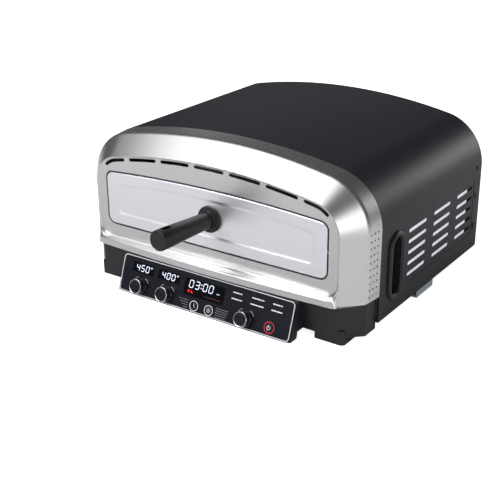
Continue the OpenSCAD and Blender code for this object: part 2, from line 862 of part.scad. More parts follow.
module upper_straps() color("#a9abad") place() {
    for (x = [-upper_r, -upper_in_r, upper_in_r, upper_r])
        strap(x, upper_h, upper_h - tube_d / 2 - 2, chamber_top);
}

module lower_straps() color("#a9abad") place() {
    for (x = [-lower_r, lower_r]) strap(x, lower_h, chamber_z, lower_h + tube_d / 2 + 2);
}

module wool_over() color("#d9d4c4") place() {
    // The blanket is trimmed where the casing comes close to it
    slab_y(chamber_y, chamber_back_y) intersection() {
        translate([-chamber_x, chamber_top + sheet]) square([2 * chamber_x, wool_top]);
        arch(sheet + skin_gap, chamber_z);
    }
}

module wool_side_piece(s) color("#d9d4c4") place() {
    mirror([s < 0 ? 1 : 0, 0, 0])
        box([chamber_x + sheet, chamber_y + sheet, chamber_z],
            [chamber_x + sheet + wool_side, chamber_back_y - sheet, chamber_top]);
}

module wool_left() wool_side_piece(-1);

module wool_right() wool_side_piece(1);

module wool_rear() color("#d9d4c4") place() {
    difference() {
        box([-chamber_x, chamber_back_y, chamber_z],
            [chamber_x, chamber_back_y + wool_back, chamber_top]);
        at_terminals() translate([0, chamber_back_y - 1, 0]) rotate([-90, 0, 0])
            cylinder(d=tube_d + 2, h=far);
        at_probes() translate([0, chamber_back_y - 1, 0]) rotate([-90, 0, 0])
            cylinder(d=probe_d + 2, h=far);
    }
}

module wool_under() color("#d9d4c4") place() {
    box([-chamber_x, chamber_y + 22 + rail_flange + 1, chamber_z - sheet - wool_floor],
        [chamber_x, chamber_back_y - 35, chamber_z - sheet]);
}

// A bright plate that stands on the bottom pan behind the vents
module shield(s) color("#d5d4dc") place() {
    x = half_w - sheet - shield_in;
    y0 = vent_y - vent_len / 2 - 8;
    y1 = vent_y + (vent_cols - 1) * vent_pitch_y + vent_len / 2 + 4;
    top = vent_z + vent_rows * vent_pitch_z;
    mirror([s < 0 ? 1 : 0, 0, 0]) {
        box([x - sheet, y0, pan_top], [x, y1, top]);
        box([x - rail_flange, y0, pan_top], [x, y1, pan_top + sheet]);
        box([x - sheet, y0, top - sheet], [half_w - sheet - skin_gap, y1, top]);
    }
}

module shield_left() shield(-1);

module shield_right() shield(1);

// A probe through the chamber's back, with its nut behind the plate
module probe(h) color("#b3b5b8") place() {
    translate([probe_x, chamber_back_y - probe_in, h]) rotate([-90, 0, 0])
        cylinder(d=probe_d, h=probe_in + wool_back + terminal_out);
    translate([probe_x, chamber_back_y - sheet - 4, h]) rotate([-90, 0, 0])
        cylinder(d=probe_d + 6, h=4, $fn=6);
}

module probe_upper() probe(upper_h);

module probe_lower() probe(lower_h);

// The plinth's outline seen from above, t inside its skin
module plinth_outline(t) {
    side = half_w - plinth_in - t;
    polygon([
        [-side, seam_y], [-side, ridge_y + t / 2], [t / 2 - plinth_face, plinth_y + t],
        [plinth_face - t / 2, plinth_y + t], [side, ridge_y + t / 2], [side, seam_y]
    ]);
}

// A front foot's outline seen from above
module front_foot(s) {
    x1 = plinth_face + 9;
    y0 = plinth_y;
    c = 4;
    polygon([
        [s * (x1 - front_foot_w), y0], [s * (x1 - c), y0], [s * x1, y0 + c],
        [s * x1, y0 + front_foot_d], [s * (x1 - front_foot_w), y0 + front_foot_d]
    ]);
}

module base_plinth() color("#1b1c20") place() {
    ledge_z = pan_z - plinth_t;
    top = bezel_z - 0.3;
    difference() {
        union() {
            difference() {
                translate([0, 0, plinth_z]) linear_extrude(height=top - plinth_z) plinth_outline(0);
                translate([0, 0, plinth_z - 1]) linear_extrude(height=top) plinth_outline(plinth_t);
                box([-half_w, seam_y - 0.01, 0], [half_w, seam_y + 1, case_h]);
            }
            // The inner ledge that the bottom pan lies on
            difference() {
                translate([0, 0, ledge_z]) linear_extrude(height=plinth_t) plinth_outline(1);
                translate([0, 0, ledge_z - 1]) linear_extrude(height=far) plinth_outline(rail_flange);
            }
            for (s = [-1, 1])
                translate([0, 0, pad_h]) linear_extrude(height=pan_z - pad_h) front_foot(s);
        }
        // The window that the wires of the control housing pass through
        box([housing_t - panel_w / 2, plinth_y - far, plinth_z + 2 * housing_t],
            [panel_w / 2 - housing_t, plinth_y + plinth_t + 1, bezel_z - 3 * housing_t]);
    }
}

module bottom_pan() color("#7d7f82") place() {
    side = half_w - sheet - skin_gap;
    box([-side, seam_y + 2, pan_z], [side, case_d - rear_recess, pan_top]);
    translate([0, 0, pan_z]) linear_extrude(height=sheet) polygon([
        [-side + rail_flange, seam_y + 2], [-side + rail_flange, ridge_y + 8],
        [6 - plinth_face, plinth_y + plinth_t + 1], [plinth_face - 6, plinth_y + plinth_t + 1],
        [side - rail_flange, ridge_y + 8], [side - rail_flange, seam_y + 2]
    ]);
}

module front_pads() color("#222226") place() {
    x = plinth_face + 9 - front_foot_w / 2;
    for (s = [-1, 1]) translate([s * x, plinth_y + front_foot_d / 2, 0])
        linear_extrude(height=pad_h) rounded(front_foot_w - 7, front_foot_d - 7, 4);
}

// Folded galvanised legs under the casing's side flanges, each on a rubber pad
module side_legs() color("#b9c6cc") place() {
    x1 = half_w - 9;
    for (s = [0, 1]) mirror([s, 0, 0]) difference() {
        box([x1 - leg_w, leg_y - leg_l / 2, 0], [x1, leg_y + leg_l / 2, case_z]);
        box([x1 - leg_w - 1, leg_y - leg_l / 2 - 1, pad_h + sheet],
            [x1 - sheet, leg_y + leg_l / 2 + 1, case_z - sheet]);
    }
}

module rear_feet() color("#222226") place() {
    for (s = [-1, 1]) translate([s * (half_w - 50), rear_y - 34, 0]) rotate_extrude() polygon([
        [0, 0], [foot_d / 2 - 2, 0], [foot_d / 2, 2], [foot_d / 2 - 3, pan_z], [0, pan_z]
    ]);
}

module grip(s) color("#1d1e22") place() {
    hole_w = grip_w - grip_ring - 2;
    hole_h = grip_h - grip_ring - 2;
    pocket_w = grip_w - 2 * grip_ring;
    pocket_h = grip_h - 2 * grip_ring;
    mirror([s < 0 ? 1 : 0, 0, 0]) translate([0, grip_y, grip_z]) difference() {
        union() {
            slab_x(half_w, half_w + grip_out * 0.6) racetrack(grip_w, grip_h);
            slab_x(half_w, half_w + grip_out) racetrack(grip_w - 4, grip_h - 4);
            slab_x(half_w - 6, half_w + 1) racetrack(hole_w, hole_h);
            slab_x(half_w - grip_deep - grip_t, half_w + 1)
                racetrack(pocket_w + 2 * grip_t, pocket_h + 2 * grip_t);
        }
        slab_x(half_w - grip_deep, half_w + grip_out + 1) racetrack(pocket_w, pocket_h);
    }
}

module grip_left() grip(-1);

module grip_right() grip(1);

module control_housing() color("#17181c") place() {
    low = panel_point(0.6 - panel_h / 2, -panel_t);
    high = panel_point(panel_h / 2 - 0.6, -panel_t);
    wall = housing_t;
    deep = plinth_y;
    step_y = -12;
    foot_z = pad_h + 0.4;
    x = panel_w / 2 + 1;
    in_low = panel_point(wall + 0.6 - panel_h / 2, 1);
    in_high = panel_point(panel_h / 2 - wall - 0.6, 1);
    difference() {
        slab_x(-x, x) polygon([
            low, [step_y, foot_z], [step_y + 2, plinth_z], [deep, plinth_z],
            [deep, bezel_z - 2], [high[0] + 2, bezel_z - 2], high
        ]);
        slab_x(wall - x, x - wall) polygon([
            in_low, [step_y - wall / 2, foot_z + wall], [step_y + 1 - wall / 2, plinth_z + wall],
            [deep + 1, plinth_z + wall], [deep + 1, bezel_z - 2 - wall],
            [high[0] + 2, bezel_z - 2 - wall], in_high
        ]);
    }
}

// Places a child on each knob's axis
module at_knobs() {
    for (u = shaft_u) translate([u, -knob_drop, 0]) children();
}

// Places a child on each button's axis
module at_buttons() {
    for (u = button_u) translate([u, button_v, 0]) children();
}

module control_panel() color("#1d1e26") place() on_panel() {
    difference() {
        translate([0, 0, -panel_t]) linear_extrude(height=panel_t) rounded(panel_w, panel_h, panel_r);
        translate([0, 0, -inlay]) linear_extrude(height=far) {
            difference() {
                rounded(panel_w - 2 * trim_in, panel_h - 2 * trim_in, panel_r - trim_in);
                rounded(panel_w - 2 * (trim_in + trim_w), panel_h - 2 * (trim_in + trim_w),
                    panel_r - trim_in - trim_w);
            }
            for (i = [0:2]) translate([window_u[i], window_v[i]])
                square([window_w[i], window_h[i]], center=true);
        }
        translate([0, 0, -far / 2]) {
            at_knobs() cylinder(d=bushing_d + 2 * skin_gap, h=far);
            at_buttons() cylinder(d=button_d + 2 * button_gap, h=far);
            translate([power_u, power_v, 0]) cylinder(d=power_d + 2 * button_gap, h=far);
            for (i = [0:2]) translate([window_u[i], window_v[i], 0])
                cube([window_w[i] - 4, window_h[i] - 4, 2 * far], center=true);
        }
    }
}

module panel_trim() color("#b9bbbd") place() on_panel() {
    translate([0, 0, -inlay]) linear_extrude(height=inlay + 0.2) difference() {
        rounded(panel_w - 2 * trim_in, panel_h - 2 * trim_in, panel_r - trim_in);
        rounded(panel_w - 2 * (trim_in + trim_w), panel_h - 2 * (trim_in + trim_w),
            panel_r - trim_in - trim_w);
    }
}

module display_windows() color("#0d0e12") place() on_panel() {
    for (i = [0:2]) translate([window_u[i], window_v[i], -inlay])
        linear_extrude(height=inlay) square([window_w[i], window_h[i]], center=true);
}

module display_modules() color("#2a2b30") place() on_panel() {
    for (i = [0:2]) translate([window_u[i], window_v[i], -board_back])
        linear_extrude(height=board_back - inlay - 0.4)
            square([window_w[i] - 5, window_h[i] - 5], center=true);
}

module control_board() color("#2f6b3c") place() on_panel() {
    top = panel_h / 2 - 5;
    bottom = -20;
    translate([-panel_w / 2 + 6, bottom, -board_back - board_t])
        cube([panel_w - 12, top - bottom, board_t]);
    // Pillars that hold the board to the panel's back
    for (u = [-140, -38.5, 45, 140], v = [bottom + 4, top - 4])
        translate([u, v, -board_back]) cylinder(d=4, h=board_back - panel_t);
}

module encoders() color("#8c8f94") place() on_panel() at_knobs() {
    difference() {
        union() {
            translate([-encoder_w / 2, -encoder_w / 2, -board_back])
                cube([encoder_w, encoder_w, board_back - panel_t - 0.5]);
            translate([0, 0, -board_back]) cylinder(d=bushing_d, h=board_back);
        }
        translate([0, 0, 2 - board_back]) cylinder(d=shaft_d + 2 * shaft_gap, h=far);
    }
}

module tact_switches() color("#3a3b40") place() on_panel() {
    base = -board_back;
    for (p = [[button_u[0], button_v], [button_u[1], button_v], [power_u, power_v]])
        translate([p[0] - switch_w / 2, p[1] - switch_w / 2, base]) cube([switch_w, switch_w, switch_h]);
}

// A turning knob with its shaft in one piece
module knob(u) color("#15161a") place() on_panel() translate([u, -knob_drop, 0]) {
    chamfer = 0.8;
    rotate_extrude() polygon([
        [0, 2.2 - board_back], [shaft_d / 2, 2.2 - board_back], [shaft_d / 2, knob_gap],
        [knob_d / 2 + 1, knob_gap], [knob_d / 2 + 1, knob_gap + 1.4],
        [knob_d / 2, knob_gap + 2.4], [knob_d / 2 - 0.4, knob_h - chamfer],
        [knob_d / 2 - 0.4 - chamfer, knob_h], [knob_d / 2 - 2.4, knob_h],
        [knob_d / 2 - 2.8, knob_h - 0.5], [0, knob_h - 0.5]
    ]);
}

module knob_top_heat() knob(shaft_u[0]);

module knob_base_heat() knob(shaft_u[1]);

module knob_mode() knob(shaft_u[2]);

// A push button with a stem that ends over its switch
module button(u, v, d) color("#26272e") place() on_panel() translate([u, v, 0]) {
    rest = switch_h - board_back + button_travel + 0.2;
    back = button_travel + 0.1 - panel_t;
    stem_d = 4;
    rotate_extrude() polygon([
        [0, rest], [stem_d / 2, rest], [stem_d / 2, back], [d / 2, back],
        [d / 2, button_out - 0.5], [d / 2 - 0.5, button_out], [0, button_out]
    ]);
}

module button_timer() button(button_u[0], button_v, button_d);

module button_light() button(button_u[1], button_v, button_d);

module button_power() button(power_u, power_v, power_d);

module power_board() color("#2f6b3c") place() {
    y0 = stone_y - 60;
    z0 = pan_top + 7;
    x0 = -70;
    size = [150, 110, board_t];
    translate([x0, y0, z0]) cube(size);
    // Spacers, relays, a filter choke and a heat sink
    for (x = [x0 + 6, x0 + size[0] - 6], y = [y0 + 6, y0 + size[1] - 6])
        translate([x, y, pan_top]) cylinder(d=6, h=z0 - pan_top);
    for (i = [0, 1]) translate([x0 + 14 + i * 24, y0 + 16, z0 + board_t]) cube([18, 26, 11]);
    translate([x0 + 30, y0 + 78, z0 + board_t]) cylinder(d=22, h=10);
    for (i = [0:5]) translate([x0 + 84 + i * 8, y0 + 20, z0 + board_t]) cube([2, 60, 12]);
    translate([x0 + 84, y0 + 20, z0 + board_t]) cube([42, 60, 2]);
}

module terminal_block() color("#dcdcd6") place() {
    y0 = rear_y - 41;
    difference() {
        translate([gland_x - 18, y0, pan_top]) cube([36, 18, 16]);
        for (i = [-1:1]) translate([gland_x + i * 11, y0 + 9, pan_top + 5])
            cylinder(d=6, h=far);
    }
}

module cord_gland() color("#202126") place() {
    out = 8.5;
    translate([gland_x, rear_y, gland_z]) rotate([-90, 0, 0]) difference() {
        union() {
            translate([0, 0, sheet]) cylinder(d=gland_d + 9, h=4, $fn=6);
            translate([0, 0, sheet + 3]) cylinder(d=gland_d + 1, h=out - 3);
            translate([0, 0, -10]) cylinder(d=gland_d - 1, h=10 + sheet + 1);
        }
        translate([0, 0, -11]) cylinder(d=gland_bore, h=far);
    }
}

module gland_nut() color("#202126") place() {
    translate([gland_x, rear_y - 6, gland_z]) rotate([-90, 0, 0]) difference() {
        cylinder(d=gland_d + 9, h=6, $fn=6);
        translate([0, 0, -1]) cylinder(d=gland_d - 0.8, h=8);
    }
}

module door_panel() color("#d8d8da") place() {
    difference() {
        union() {
            difference() {
                slab_y(door_y, door_back) mouth_outline(-door_gap);
                slab_y(door_y + sheet, door_back + 1) mouth_outline(-door_gap - sheet);
                slab_y(door_y - 1, door_y + 2 * sheet) field_outline(-1);
            }
            difference() {
                slab_y(door_y, door_field_y + sheet) field_outline(0);
                slab_y(door_y - 1, door_field_y) field_outline(-1);
            }
        }
        on_handle() translate([0, 0, -far / 2]) cylinder(d=stud_d + 0.6, h=far);
    }
}

module door_pan() color("#a4a5a6") place() {
    rim_y = door_back - 2 * sheet;
    difference() {
        union() {
            slab_y(rim_y, door_back - sheet) mouth_outline(-door_gap - sheet - skin_gap);
            slab_y(rim_y, plug_y) throat_outline(-plug_gap);
        }
        slab_y(rim_y - 1, plug_y - sheet) throat_outline(-plug_gap - sheet);
    }
}

module door_wool() color("#d9d4c4") place() {
    slab_y(door_back - 1, plug_y - sheet) throat_outline(-plug_gap - sheet - skin_gap);
}

// Spring tabs at the middle of the door's ends that bear on the opening
module door_catches() color("#c6c7c8") place() {
    tab = 1.8;
    for (s = [0, 1]) mirror([s, 0, 0])
        translate([door_x, door_y + 1.4, mouth_mid - catch_h / 2])
            cube([tab, door_rim - 3, catch_h]);
}

module handle_rosette() color("#1a1b1e") place() {
    difference() {
        intersection() {
            on_handle() rotate_extrude() polygon([
                [0, -3], [rosette_d / 2, -3], [rosette_d / 2, rosette_t - 1.5],
                [rosette_d / 2 - 1.5, rosette_t], [handle_neck_d / 2 + 2, rosette_t],
                [handle_neck_d / 2 + 1.2, rosette_t + collar_t], [0, rosette_t + collar_t]
            ]);
            box([-half_w, -case_d, 0], [half_w, door_field_y, case_h]);
        }
        on_handle() translate([0, 0, -far / 2]) cylinder(d=stud_d + 0.6, h=far);
    }
}

module handle_bar() color("#1f2023") place() on_handle() {
    root = rosette_t + collar_t;
    swell = handle_l - 14;
    difference() {
        rotate_extrude() polygon([
            [0, root], [handle_neck_d / 2, root], [handle_tip_d / 2, swell],
            [handle_tip_d / 2, handle_l - tip_round],
            [handle_tip_d / 2 - tip_round * 0.3, handle_l - tip_round * 0.3],
            [handle_tip_d / 2 - tip_round, handle_l], [0, handle_l]
        ]);
        translate([0, 0, root - 1]) cylinder(d=stud_d + 0.1, h=stud_grip + 1);
        translate([0, 0, handle_l - hang_inset]) rotate([90, 0, 0])
            linear_extrude(height=2 * handle_tip_d, center=true) racetrack(hang_w, hang_l);
    }
}

// The stud with its nut behind the door's field
module handle_stud() color("#a6a8aa") place() on_handle() {
    nut_h = 4;
    nut_z = -sheet - nut_h - 0.6;
    translate([0, 0, nut_z - 0.4])
        cylinder(d=stud_d, h=rosette_t + collar_t + stud_grip - nut_z);
    translate([0, 0, nut_z]) cylinder(d=stud_d * 1.9, h=nut_h, $fn=6);
}

// Screws that hold the rear panel's rim to the casing's sides, and the casing to the pan
module rear_screws() color("#3a3b3f") place() at_screws() {
    cylinder(d=screw_head_d, h=screw_head_t);
    cylinder(d=screw_d, h=screw_l);
}

casing_shell();
rear_panel();
front_bezel();
mouth_frame();
chamber_floor();
chamber_roof();
chamber_left();
chamber_right();
chamber_front();
chamber_back();
chamber_rails();
stone_ledges();
pizza_stone();
upper_element();
lower_element();
upper_straps();
lower_straps();
wool_over();
wool_left();
wool_right();
wool_rear();
wool_under();
shield_left();
shield_right();
probe_upper();
probe_lower();
base_plinth();
bottom_pan();
front_pads();
side_legs();
rear_feet();
grip_left();
grip_right();
control_housing();
control_panel();
panel_trim();
display_windows();
display_modules();
control_board();
encoders();
tact_switches();
power_board();
terminal_block();
cord_gland();
gland_nut();
knob_top_heat();
knob_base_heat();
knob_mode();
button_timer();
button_light();
button_power();
door_panel();
door_pan();
door_wool();
door_catches();
handle_rosette();
handle_bar();
handle_stud();
rear_screws();
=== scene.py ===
"""Looks of a countertop electric pizza oven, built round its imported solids.

Lengths inside the classes are millimetres in the oven's front-plane frame: x to the user's right,
y back from the front plane and z up from the table. point() turns them into scene metres.
"""

import logging
import math
from dataclasses import dataclass, field
from enum import Enum
from typing import Sequence

import bmesh
import bpy
from mathutils import Matrix, Vector


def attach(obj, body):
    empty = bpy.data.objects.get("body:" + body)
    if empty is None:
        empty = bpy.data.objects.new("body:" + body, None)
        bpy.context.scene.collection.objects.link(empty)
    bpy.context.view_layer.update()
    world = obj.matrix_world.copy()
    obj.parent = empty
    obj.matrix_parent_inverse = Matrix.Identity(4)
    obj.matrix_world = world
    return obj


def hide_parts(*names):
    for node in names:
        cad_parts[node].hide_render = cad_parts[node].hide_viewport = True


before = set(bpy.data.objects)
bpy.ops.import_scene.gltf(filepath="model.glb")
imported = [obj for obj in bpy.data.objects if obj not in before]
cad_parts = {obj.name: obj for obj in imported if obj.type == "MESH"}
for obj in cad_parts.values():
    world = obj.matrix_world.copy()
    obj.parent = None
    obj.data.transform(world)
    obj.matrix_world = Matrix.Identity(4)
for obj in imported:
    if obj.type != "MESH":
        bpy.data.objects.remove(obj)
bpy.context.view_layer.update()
LOG = logging.getLogger("oven")
MM = 0.001
# Where the front plane lies along the scene's y axis, in millimetres
Y_SHIFT = -137.227
# The line on which the casing's crown meets its shoulders: legs and long side of a right triangle
RISE, RUN, SLANT = 20, 99, 101
Pair = tuple[float, float]
Triple = tuple[float, float, float]
Loop = list[Vector]


def point(x: float, y: float, z: float) -> Vector:
    """Turn millimetres of the front-plane frame into scene metres.

    Args:
        x: millimetres to the right of the middle.
        y: millimetres behind the front plane.
        z: millimetres above the table.

    Returns:
        The point in metres in the scene.
    """
    return Vector((x * MM, (y + Y_SHIFT) * MM, z * MM))


def linear(code: str) -> tuple[float, float, float, float]:
    """Turn an sRGB hex code into a linear colour.

    Args:
        code: six hex digits, with or without a leading hash sign.

    Returns:
        Red, green, blue and alpha, linear.
    """
    digits = code.lstrip("#")
    parts = [int(digits[i : i + 2], 16) / 255 for i in (0, 2, 4)]
    flat = [c / 12.92 if c <= 0.04045 else ((c + 0.055) / 1.055) ** 2.4 for c in parts]
    return (flat[0], flat[1], flat[2], 1.0)


def add_node(
    tree: bpy.types.NodeTree,
    kind: str,
    settings: dict | None = None,
    links: dict | None = None,
) -> bpy.types.Node:
    """Add a node to a tree with its settings and links.

    Args:
        tree: the node tree.
        kind: Blender's name for the node's type.
        settings: values by input name, input index or property name.
        links: source sockets by input name or index.

    Returns:
        The new node.
    """
    node = tree.nodes.new(kind)
    for key, value in (settings or {}).items():
        if isinstance(key, int) or key in node.inputs:
            node.inputs[key].default_value = value
        else:
            setattr(node, key, value)
    for key, source in (links or {}).items():
        tree.links.new(source, node.inputs[key])
    return node


class Grain(Enum):
    """The way a sheet's brush lines run."""

    ACROSS = (1.5, 90.0, 90.0)
    NONE = (1.0, 1.0, 1.0)


@dataclass(frozen=True)
class Finish:
    """A real material and its surface, drawn with one Principled shader.

    Attributes:
        name: the material's name.
        colour: sRGB hex of its base colour.
        shade: sRGB hex that the fine variation leads to.
        metallic: 1 for bare metal, 0 otherwise.
        roughness: the mean roughness.
        spread: how far the roughness varies to each side.
        grain_mm: size of the surface's texture.
        relief_mm: height of the surface's texture.
        grain: the way the texture is drawn out.
        ior: index of refraction where the material isn't metal.
        specular: Principled specular level.
        glow: strength of its own light.
    """

    name: str
    colour: str
    shade: str
    metallic: float = 0.0
    roughness: float = 0.5
    spread: float = 0.05
    grain_mm: float = 1.0
    relief_mm: float = 0.02
    grain: Grain = Grain.NONE
    ior: float = 1.5
    specular: float = 0.5
    glow: float = 0.0

    def material(self) -> bpy.types.Material:
        """Build the material, or fetch it if it is there already.

        Returns:
            The Blender material.
        """
        known = bpy.data.materials.get(self.name)
        if known:
            return known
        made = bpy.data.materials.new(self.name)
        made.use_nodes = True
        tree = made.node_tree
        tree.nodes.clear()
        where = add_node(tree, "ShaderNodeTexCoord").outputs["Object"]
        drawn = add_node(
            tree, "ShaderNodeMapping", {"Scale": self.grain.value}, {"Vector": where}
        )
        size = 1 / (self.grain_mm * MM) / max(self.grain.value)
        noise = add_node(
            tree, "ShaderNodeTexNoise", {"Scale": size, "Detail": 4.0, "Roughness": 0.6},
            {"Vector": drawn.outputs["Vector"]},
        ).outputs["Fac"]
        cloud = add_node(
            tree, "ShaderNodeTexNoise", {"Scale": 9.0, "Detail": 2.0}, {"Vector": where}
        ).outputs["Fac"]
        fine = add_node(
            tree, "ShaderNodeMath", {"operation": "MULTIPLY_ADD", 1: 0.6, 2: 0.0}, {0: noise}
        )
        total = add_node(
            tree, "ShaderNodeMath", {"operation": "MULTIPLY_ADD", 1: 0.4},
            {0: cloud, 2: fine.outputs[0]},
        )
        colour = add_node(
            tree, "ShaderNodeMix",
            {"data_type": "RGBA", 6: linear(self.colour), 7: linear(self.shade)},
            {0: total.outputs[0]},
        )
        limits = {"To Min": self.roughness - self.spread, "To Max": self.roughness + self.spread}
        rough = add_node(tree, "ShaderNodeMapRange", limits, {"Value": noise})
        bump = add_node(
            tree, "ShaderNodeBump", {"Strength": 0.6, "Distance": self.relief_mm * MM},
            {"Height": noise},
        )
        shader = add_node(
            tree, "ShaderNodeBsdfPrincipled",
            {
                "Metallic": self.metallic,
                "Specular IOR Level": self.specular,
                "Emission Strength": self.glow,
            },
            {
                "Base Color": colour.outputs[2],
                "Roughness": rough.outputs["Result"],
                "Normal": bump.outputs["Normal"],
            },
        )
        if not self.metallic:
            shader.inputs["IOR"].default_value = self.ior
        if self.glow:
            shader.inputs["Emission Color"].default_value = linear(self.colour)
        add_node(tree, "ShaderNodeOutputMaterial", links={"Surface": shader.outputs["BSDF"]})
        return made


# Powder-coated steel: a dark satin skin with a faint orange peel that spreads its highlight
POWDER_COAT = Finish(
    "powder_coated_steel", "#15161e", "#1a1b24", roughness=0.47, spread=0.03, grain_mm=0.7,
    relief_mm=0.012, specular=0.35,
)
# Brushed stainless steel: pale, with fine lines from side to side that streak its highlights
BRUSHED_STAINLESS = Finish(
    "brushed_stainless_steel", "#d6d6d6", "#bfbfc0", metallic=1.0, roughness=0.33, spread=0.1,
    grain_mm=0.6, relief_mm=0.012, grain=Grain.ACROSS,
)
# Satin-rolled stainless of the door: cooler in colour and with lower, finer lines than the front
SATIN_STAINLESS = Finish(
    "satin_rolled_stainless_steel", "#ececf1", "#dfe0e6", metallic=1.0, roughness=0.42,
    grain_mm=0.45, relief_mm=0.003, grain=Grain.ACROSS,
)
# Aluminised sheet of the chamber: dull and slightly blotched
ALUMINISED_SHEET = Finish(
    "aluminised_steel_sheet", "#a6a6a2", "#8b8b88", metallic=1.0, roughness=0.45, spread=0.1,
    grain_mm=3.0, relief_mm=0.01,
)
# Galvanised sheet of legs, rails and straps: pale with a soft spangle
GALVANISED_SHEET = Finish(
    "galvanised_steel_sheet", "#c9d1d6", "#b3bcc2", metallic=0.6, roughness=0.45, spread=0.12,
    grain_mm=6.0, relief_mm=0.01,
)
# Bright-annealed liner behind the vents. It gives off light of its own, which isn't physical: that
# stands for the light that comes back out of the slots in the photograph.
BRIGHT_LINER = Finish(
    "bright_annealed_liner", "#e6e6ee", "#d6d6e0", metallic=0.2, spread=0.1, grain_mm=4.0,
    relief_mm=0.01, glow=0.8,
)
# Electrogalvanised steel of the bottom pan: plain grey
PAN_STEEL = Finish("electrogalvanised_pan_steel", "#8c8e91", "#7c7e81", metallic=0.8, grain_mm=4.0)
# Injection-moulded ABS: near black with a fine spark-eroded grain
MOULDED_ABS = Finish(
    "moulded_black_abs", "#141518", "#191a1d", grain_mm=0.6, relief_mm=0.03, ior=1.53,
    specular=0.4,
)
# Phenolic resin of the handle: black and satin all over
MOULDED_PHENOLIC = Finish(
    "moulded_phenolic_resin", "#0b0c0d", "#101112", roughness=0.46, grain_mm=0.8, ior=1.6,
    specular=0.3,
)
# Gloss-moulded ABS of the control panel: navy black and smooth
GLOSS_ABS = Finish(
    "gloss_moulded_abs", "#14151d", "#181922", roughness=0.22, spread=0.02, grain_mm=2.0,
    relief_mm=0.002, ior=1.53, specular=0.4,
)
# Smoked acrylic of the display windows: almost black and shiny
SMOKED_ACRYLIC = Finish(
    "smoked_acrylic", "#08090c", "#0b0c10", roughness=0.08, spread=0.01, grain_mm=5.0,
    relief_mm=0.0005, ior=1.49, specular=0.35,
)
# Satin chrome of the knobs' rings
SATIN_CHROME = Finish(
    "satin_chrome_plating", "#c4c5c6", "#b3b4b6", metallic=1.0, roughness=0.22, spread=0.03,
    relief_mm=0.002,
)
# Hot-stamped silver foil of the panel's line and of the buttons' rings and icons: even and bright
SILVER_FOIL = Finish(
    "hot_stamped_silver_foil", "#d2d3d6", "#c2c3c7", metallic=0.25, roughness=0.42, spread=0.04,
    grain_mm=1.5, relief_mm=0.002,
)
# Printed white ink: matt and flat
WHITE_INK = Finish(
    "screen_printed_white_ink", "#e8e8ea", "#dcdce0", roughness=0.6, grain_mm=0.5,
    relief_mm=0.002,
)
# Grey ink of the fine marks
GREY_INK = Finish(
    "screen_printed_grey_ink", "#8d8f95", "#84868c", roughness=0.6, grain_mm=0.5,
    relief_mm=0.002,
)
# Digits of the displays: white light, laid on the window's face
LIT_WHITE = Finish("white_display_light", "#dfe3f6", "#d6daf0", relief_mm=0.001, glow=0.62)
# Icons of the displays: red light
LIT_RED = Finish("red_display_light", "#d8101e", "#c80c1a", relief_mm=0.001, glow=0.7)
# Row of faint marks under the digits: a trace of red light
DIM_RED = Finish("dim_display_row", "#5a2018", "#4a1a14", relief_mm=0.001, glow=0.12)
# Red light guide round the power button, with a trace of light
RED_GUIDE = Finish(
    "red_ring_light_guide", "#b81826", "#a81420", roughness=0.4, relief_mm=0.001, glow=0.15,
)
# Black silicone rubber of the feet
RUBBER = Finish(
    "silicone_rubber", "#222226", "#2a2a2e", roughness=0.75, grain_mm=0.8, relief_mm=0.03,
    ior=1.41,
)
# Cordierite stone: pale sandy ceramic with open pores
CORDIERITE = Finish(
    "pressed_cordierite", "#d0bd99", "#b89f78", roughness=0.85, spread=0.08, grain_mm=1.4,
    relief_mm=0.12,
)
# Ceramic wool: white fibre blanket
CERAMIC_WOOL = Finish(
    "ceramic_fibre_blanket", "#e2dccb", "#cfc7b2", roughness=0.95, grain_mm=2.2, relief_mm=0.4,
)
# Heat-tinted sheath of the elements: grey brown with a dull straw tint
HEATED_SHEATH = Finish(
    "heat_tinted_alloy_sheath", "#7b736a", "#5d5854", metallic=1.0, roughness=0.42, spread=0.1,
    grain_mm=5.0,
)
# Solder-masked glass-epoxy laminate
LAMINATE = Finish(
    "solder_masked_laminate", "#23633a", "#1c5431", roughness=0.35, grain_mm=3.0, relief_mm=0.01,
)
# Moulded polyamide of the terminal block
POLYAMIDE = Finish("moulded_polyamide", "#dedfd9", "#d2d3cc")
# Zinc-plated fasteners and spring steel
ZINC_PLATE = Finish(
    "zinc_plated_steel", "#b9bcc0", "#a6a9ad", metallic=1.0, roughness=0.35, spread=0.06,
    grain_mm=1.5, relief_mm=0.006,
)


def show(obj: bpy.types.Object, finish: Finish, body: str, *nodes: str) -> bpy.types.Object:
    """Give a new piece its finish and its place in the mechanism.

    Args:
        obj: the piece.
        finish: its material.
        body: the CAD body it rides on.
        nodes: CAD nodes it stands for.

    Returns:
        The piece.
    """
    obj.data.materials.clear()
    obj.data.materials.append(finish.material())
    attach(obj, body)
    if nodes:
        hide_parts(*nodes)
    LOG.info("piece %s: %s on %s", obj.name, finish.name, body)
    return obj


def dress(finish: Finish, *nodes: str) -> None:
    """Give CAD nodes a finish.

    Args:
        finish: the material.
        nodes: the nodes' names.
    """
    for name in nodes:
        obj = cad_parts[name]
        for slot in obj.material_slots:
            slot.material = finish.material()
        LOG.info("node %s: %s", name, finish.name)


def add_object(name: str, data: bpy.types.ID) -> bpy.types.Object:
    """Add an object with the given data to the scene."""
    obj = bpy.data.objects.new(name, data)
    bpy.context.scene.collection.objects.link(obj)
    return obj


def even_normals(obj: bpy.types.Object) -> None:
    """Weight an object's normals by its faces, and keep its sharp edges."""
    even = obj.modifiers.new("even_normals", "WEIGHTED_NORMAL")
    even.keep_sharp = True


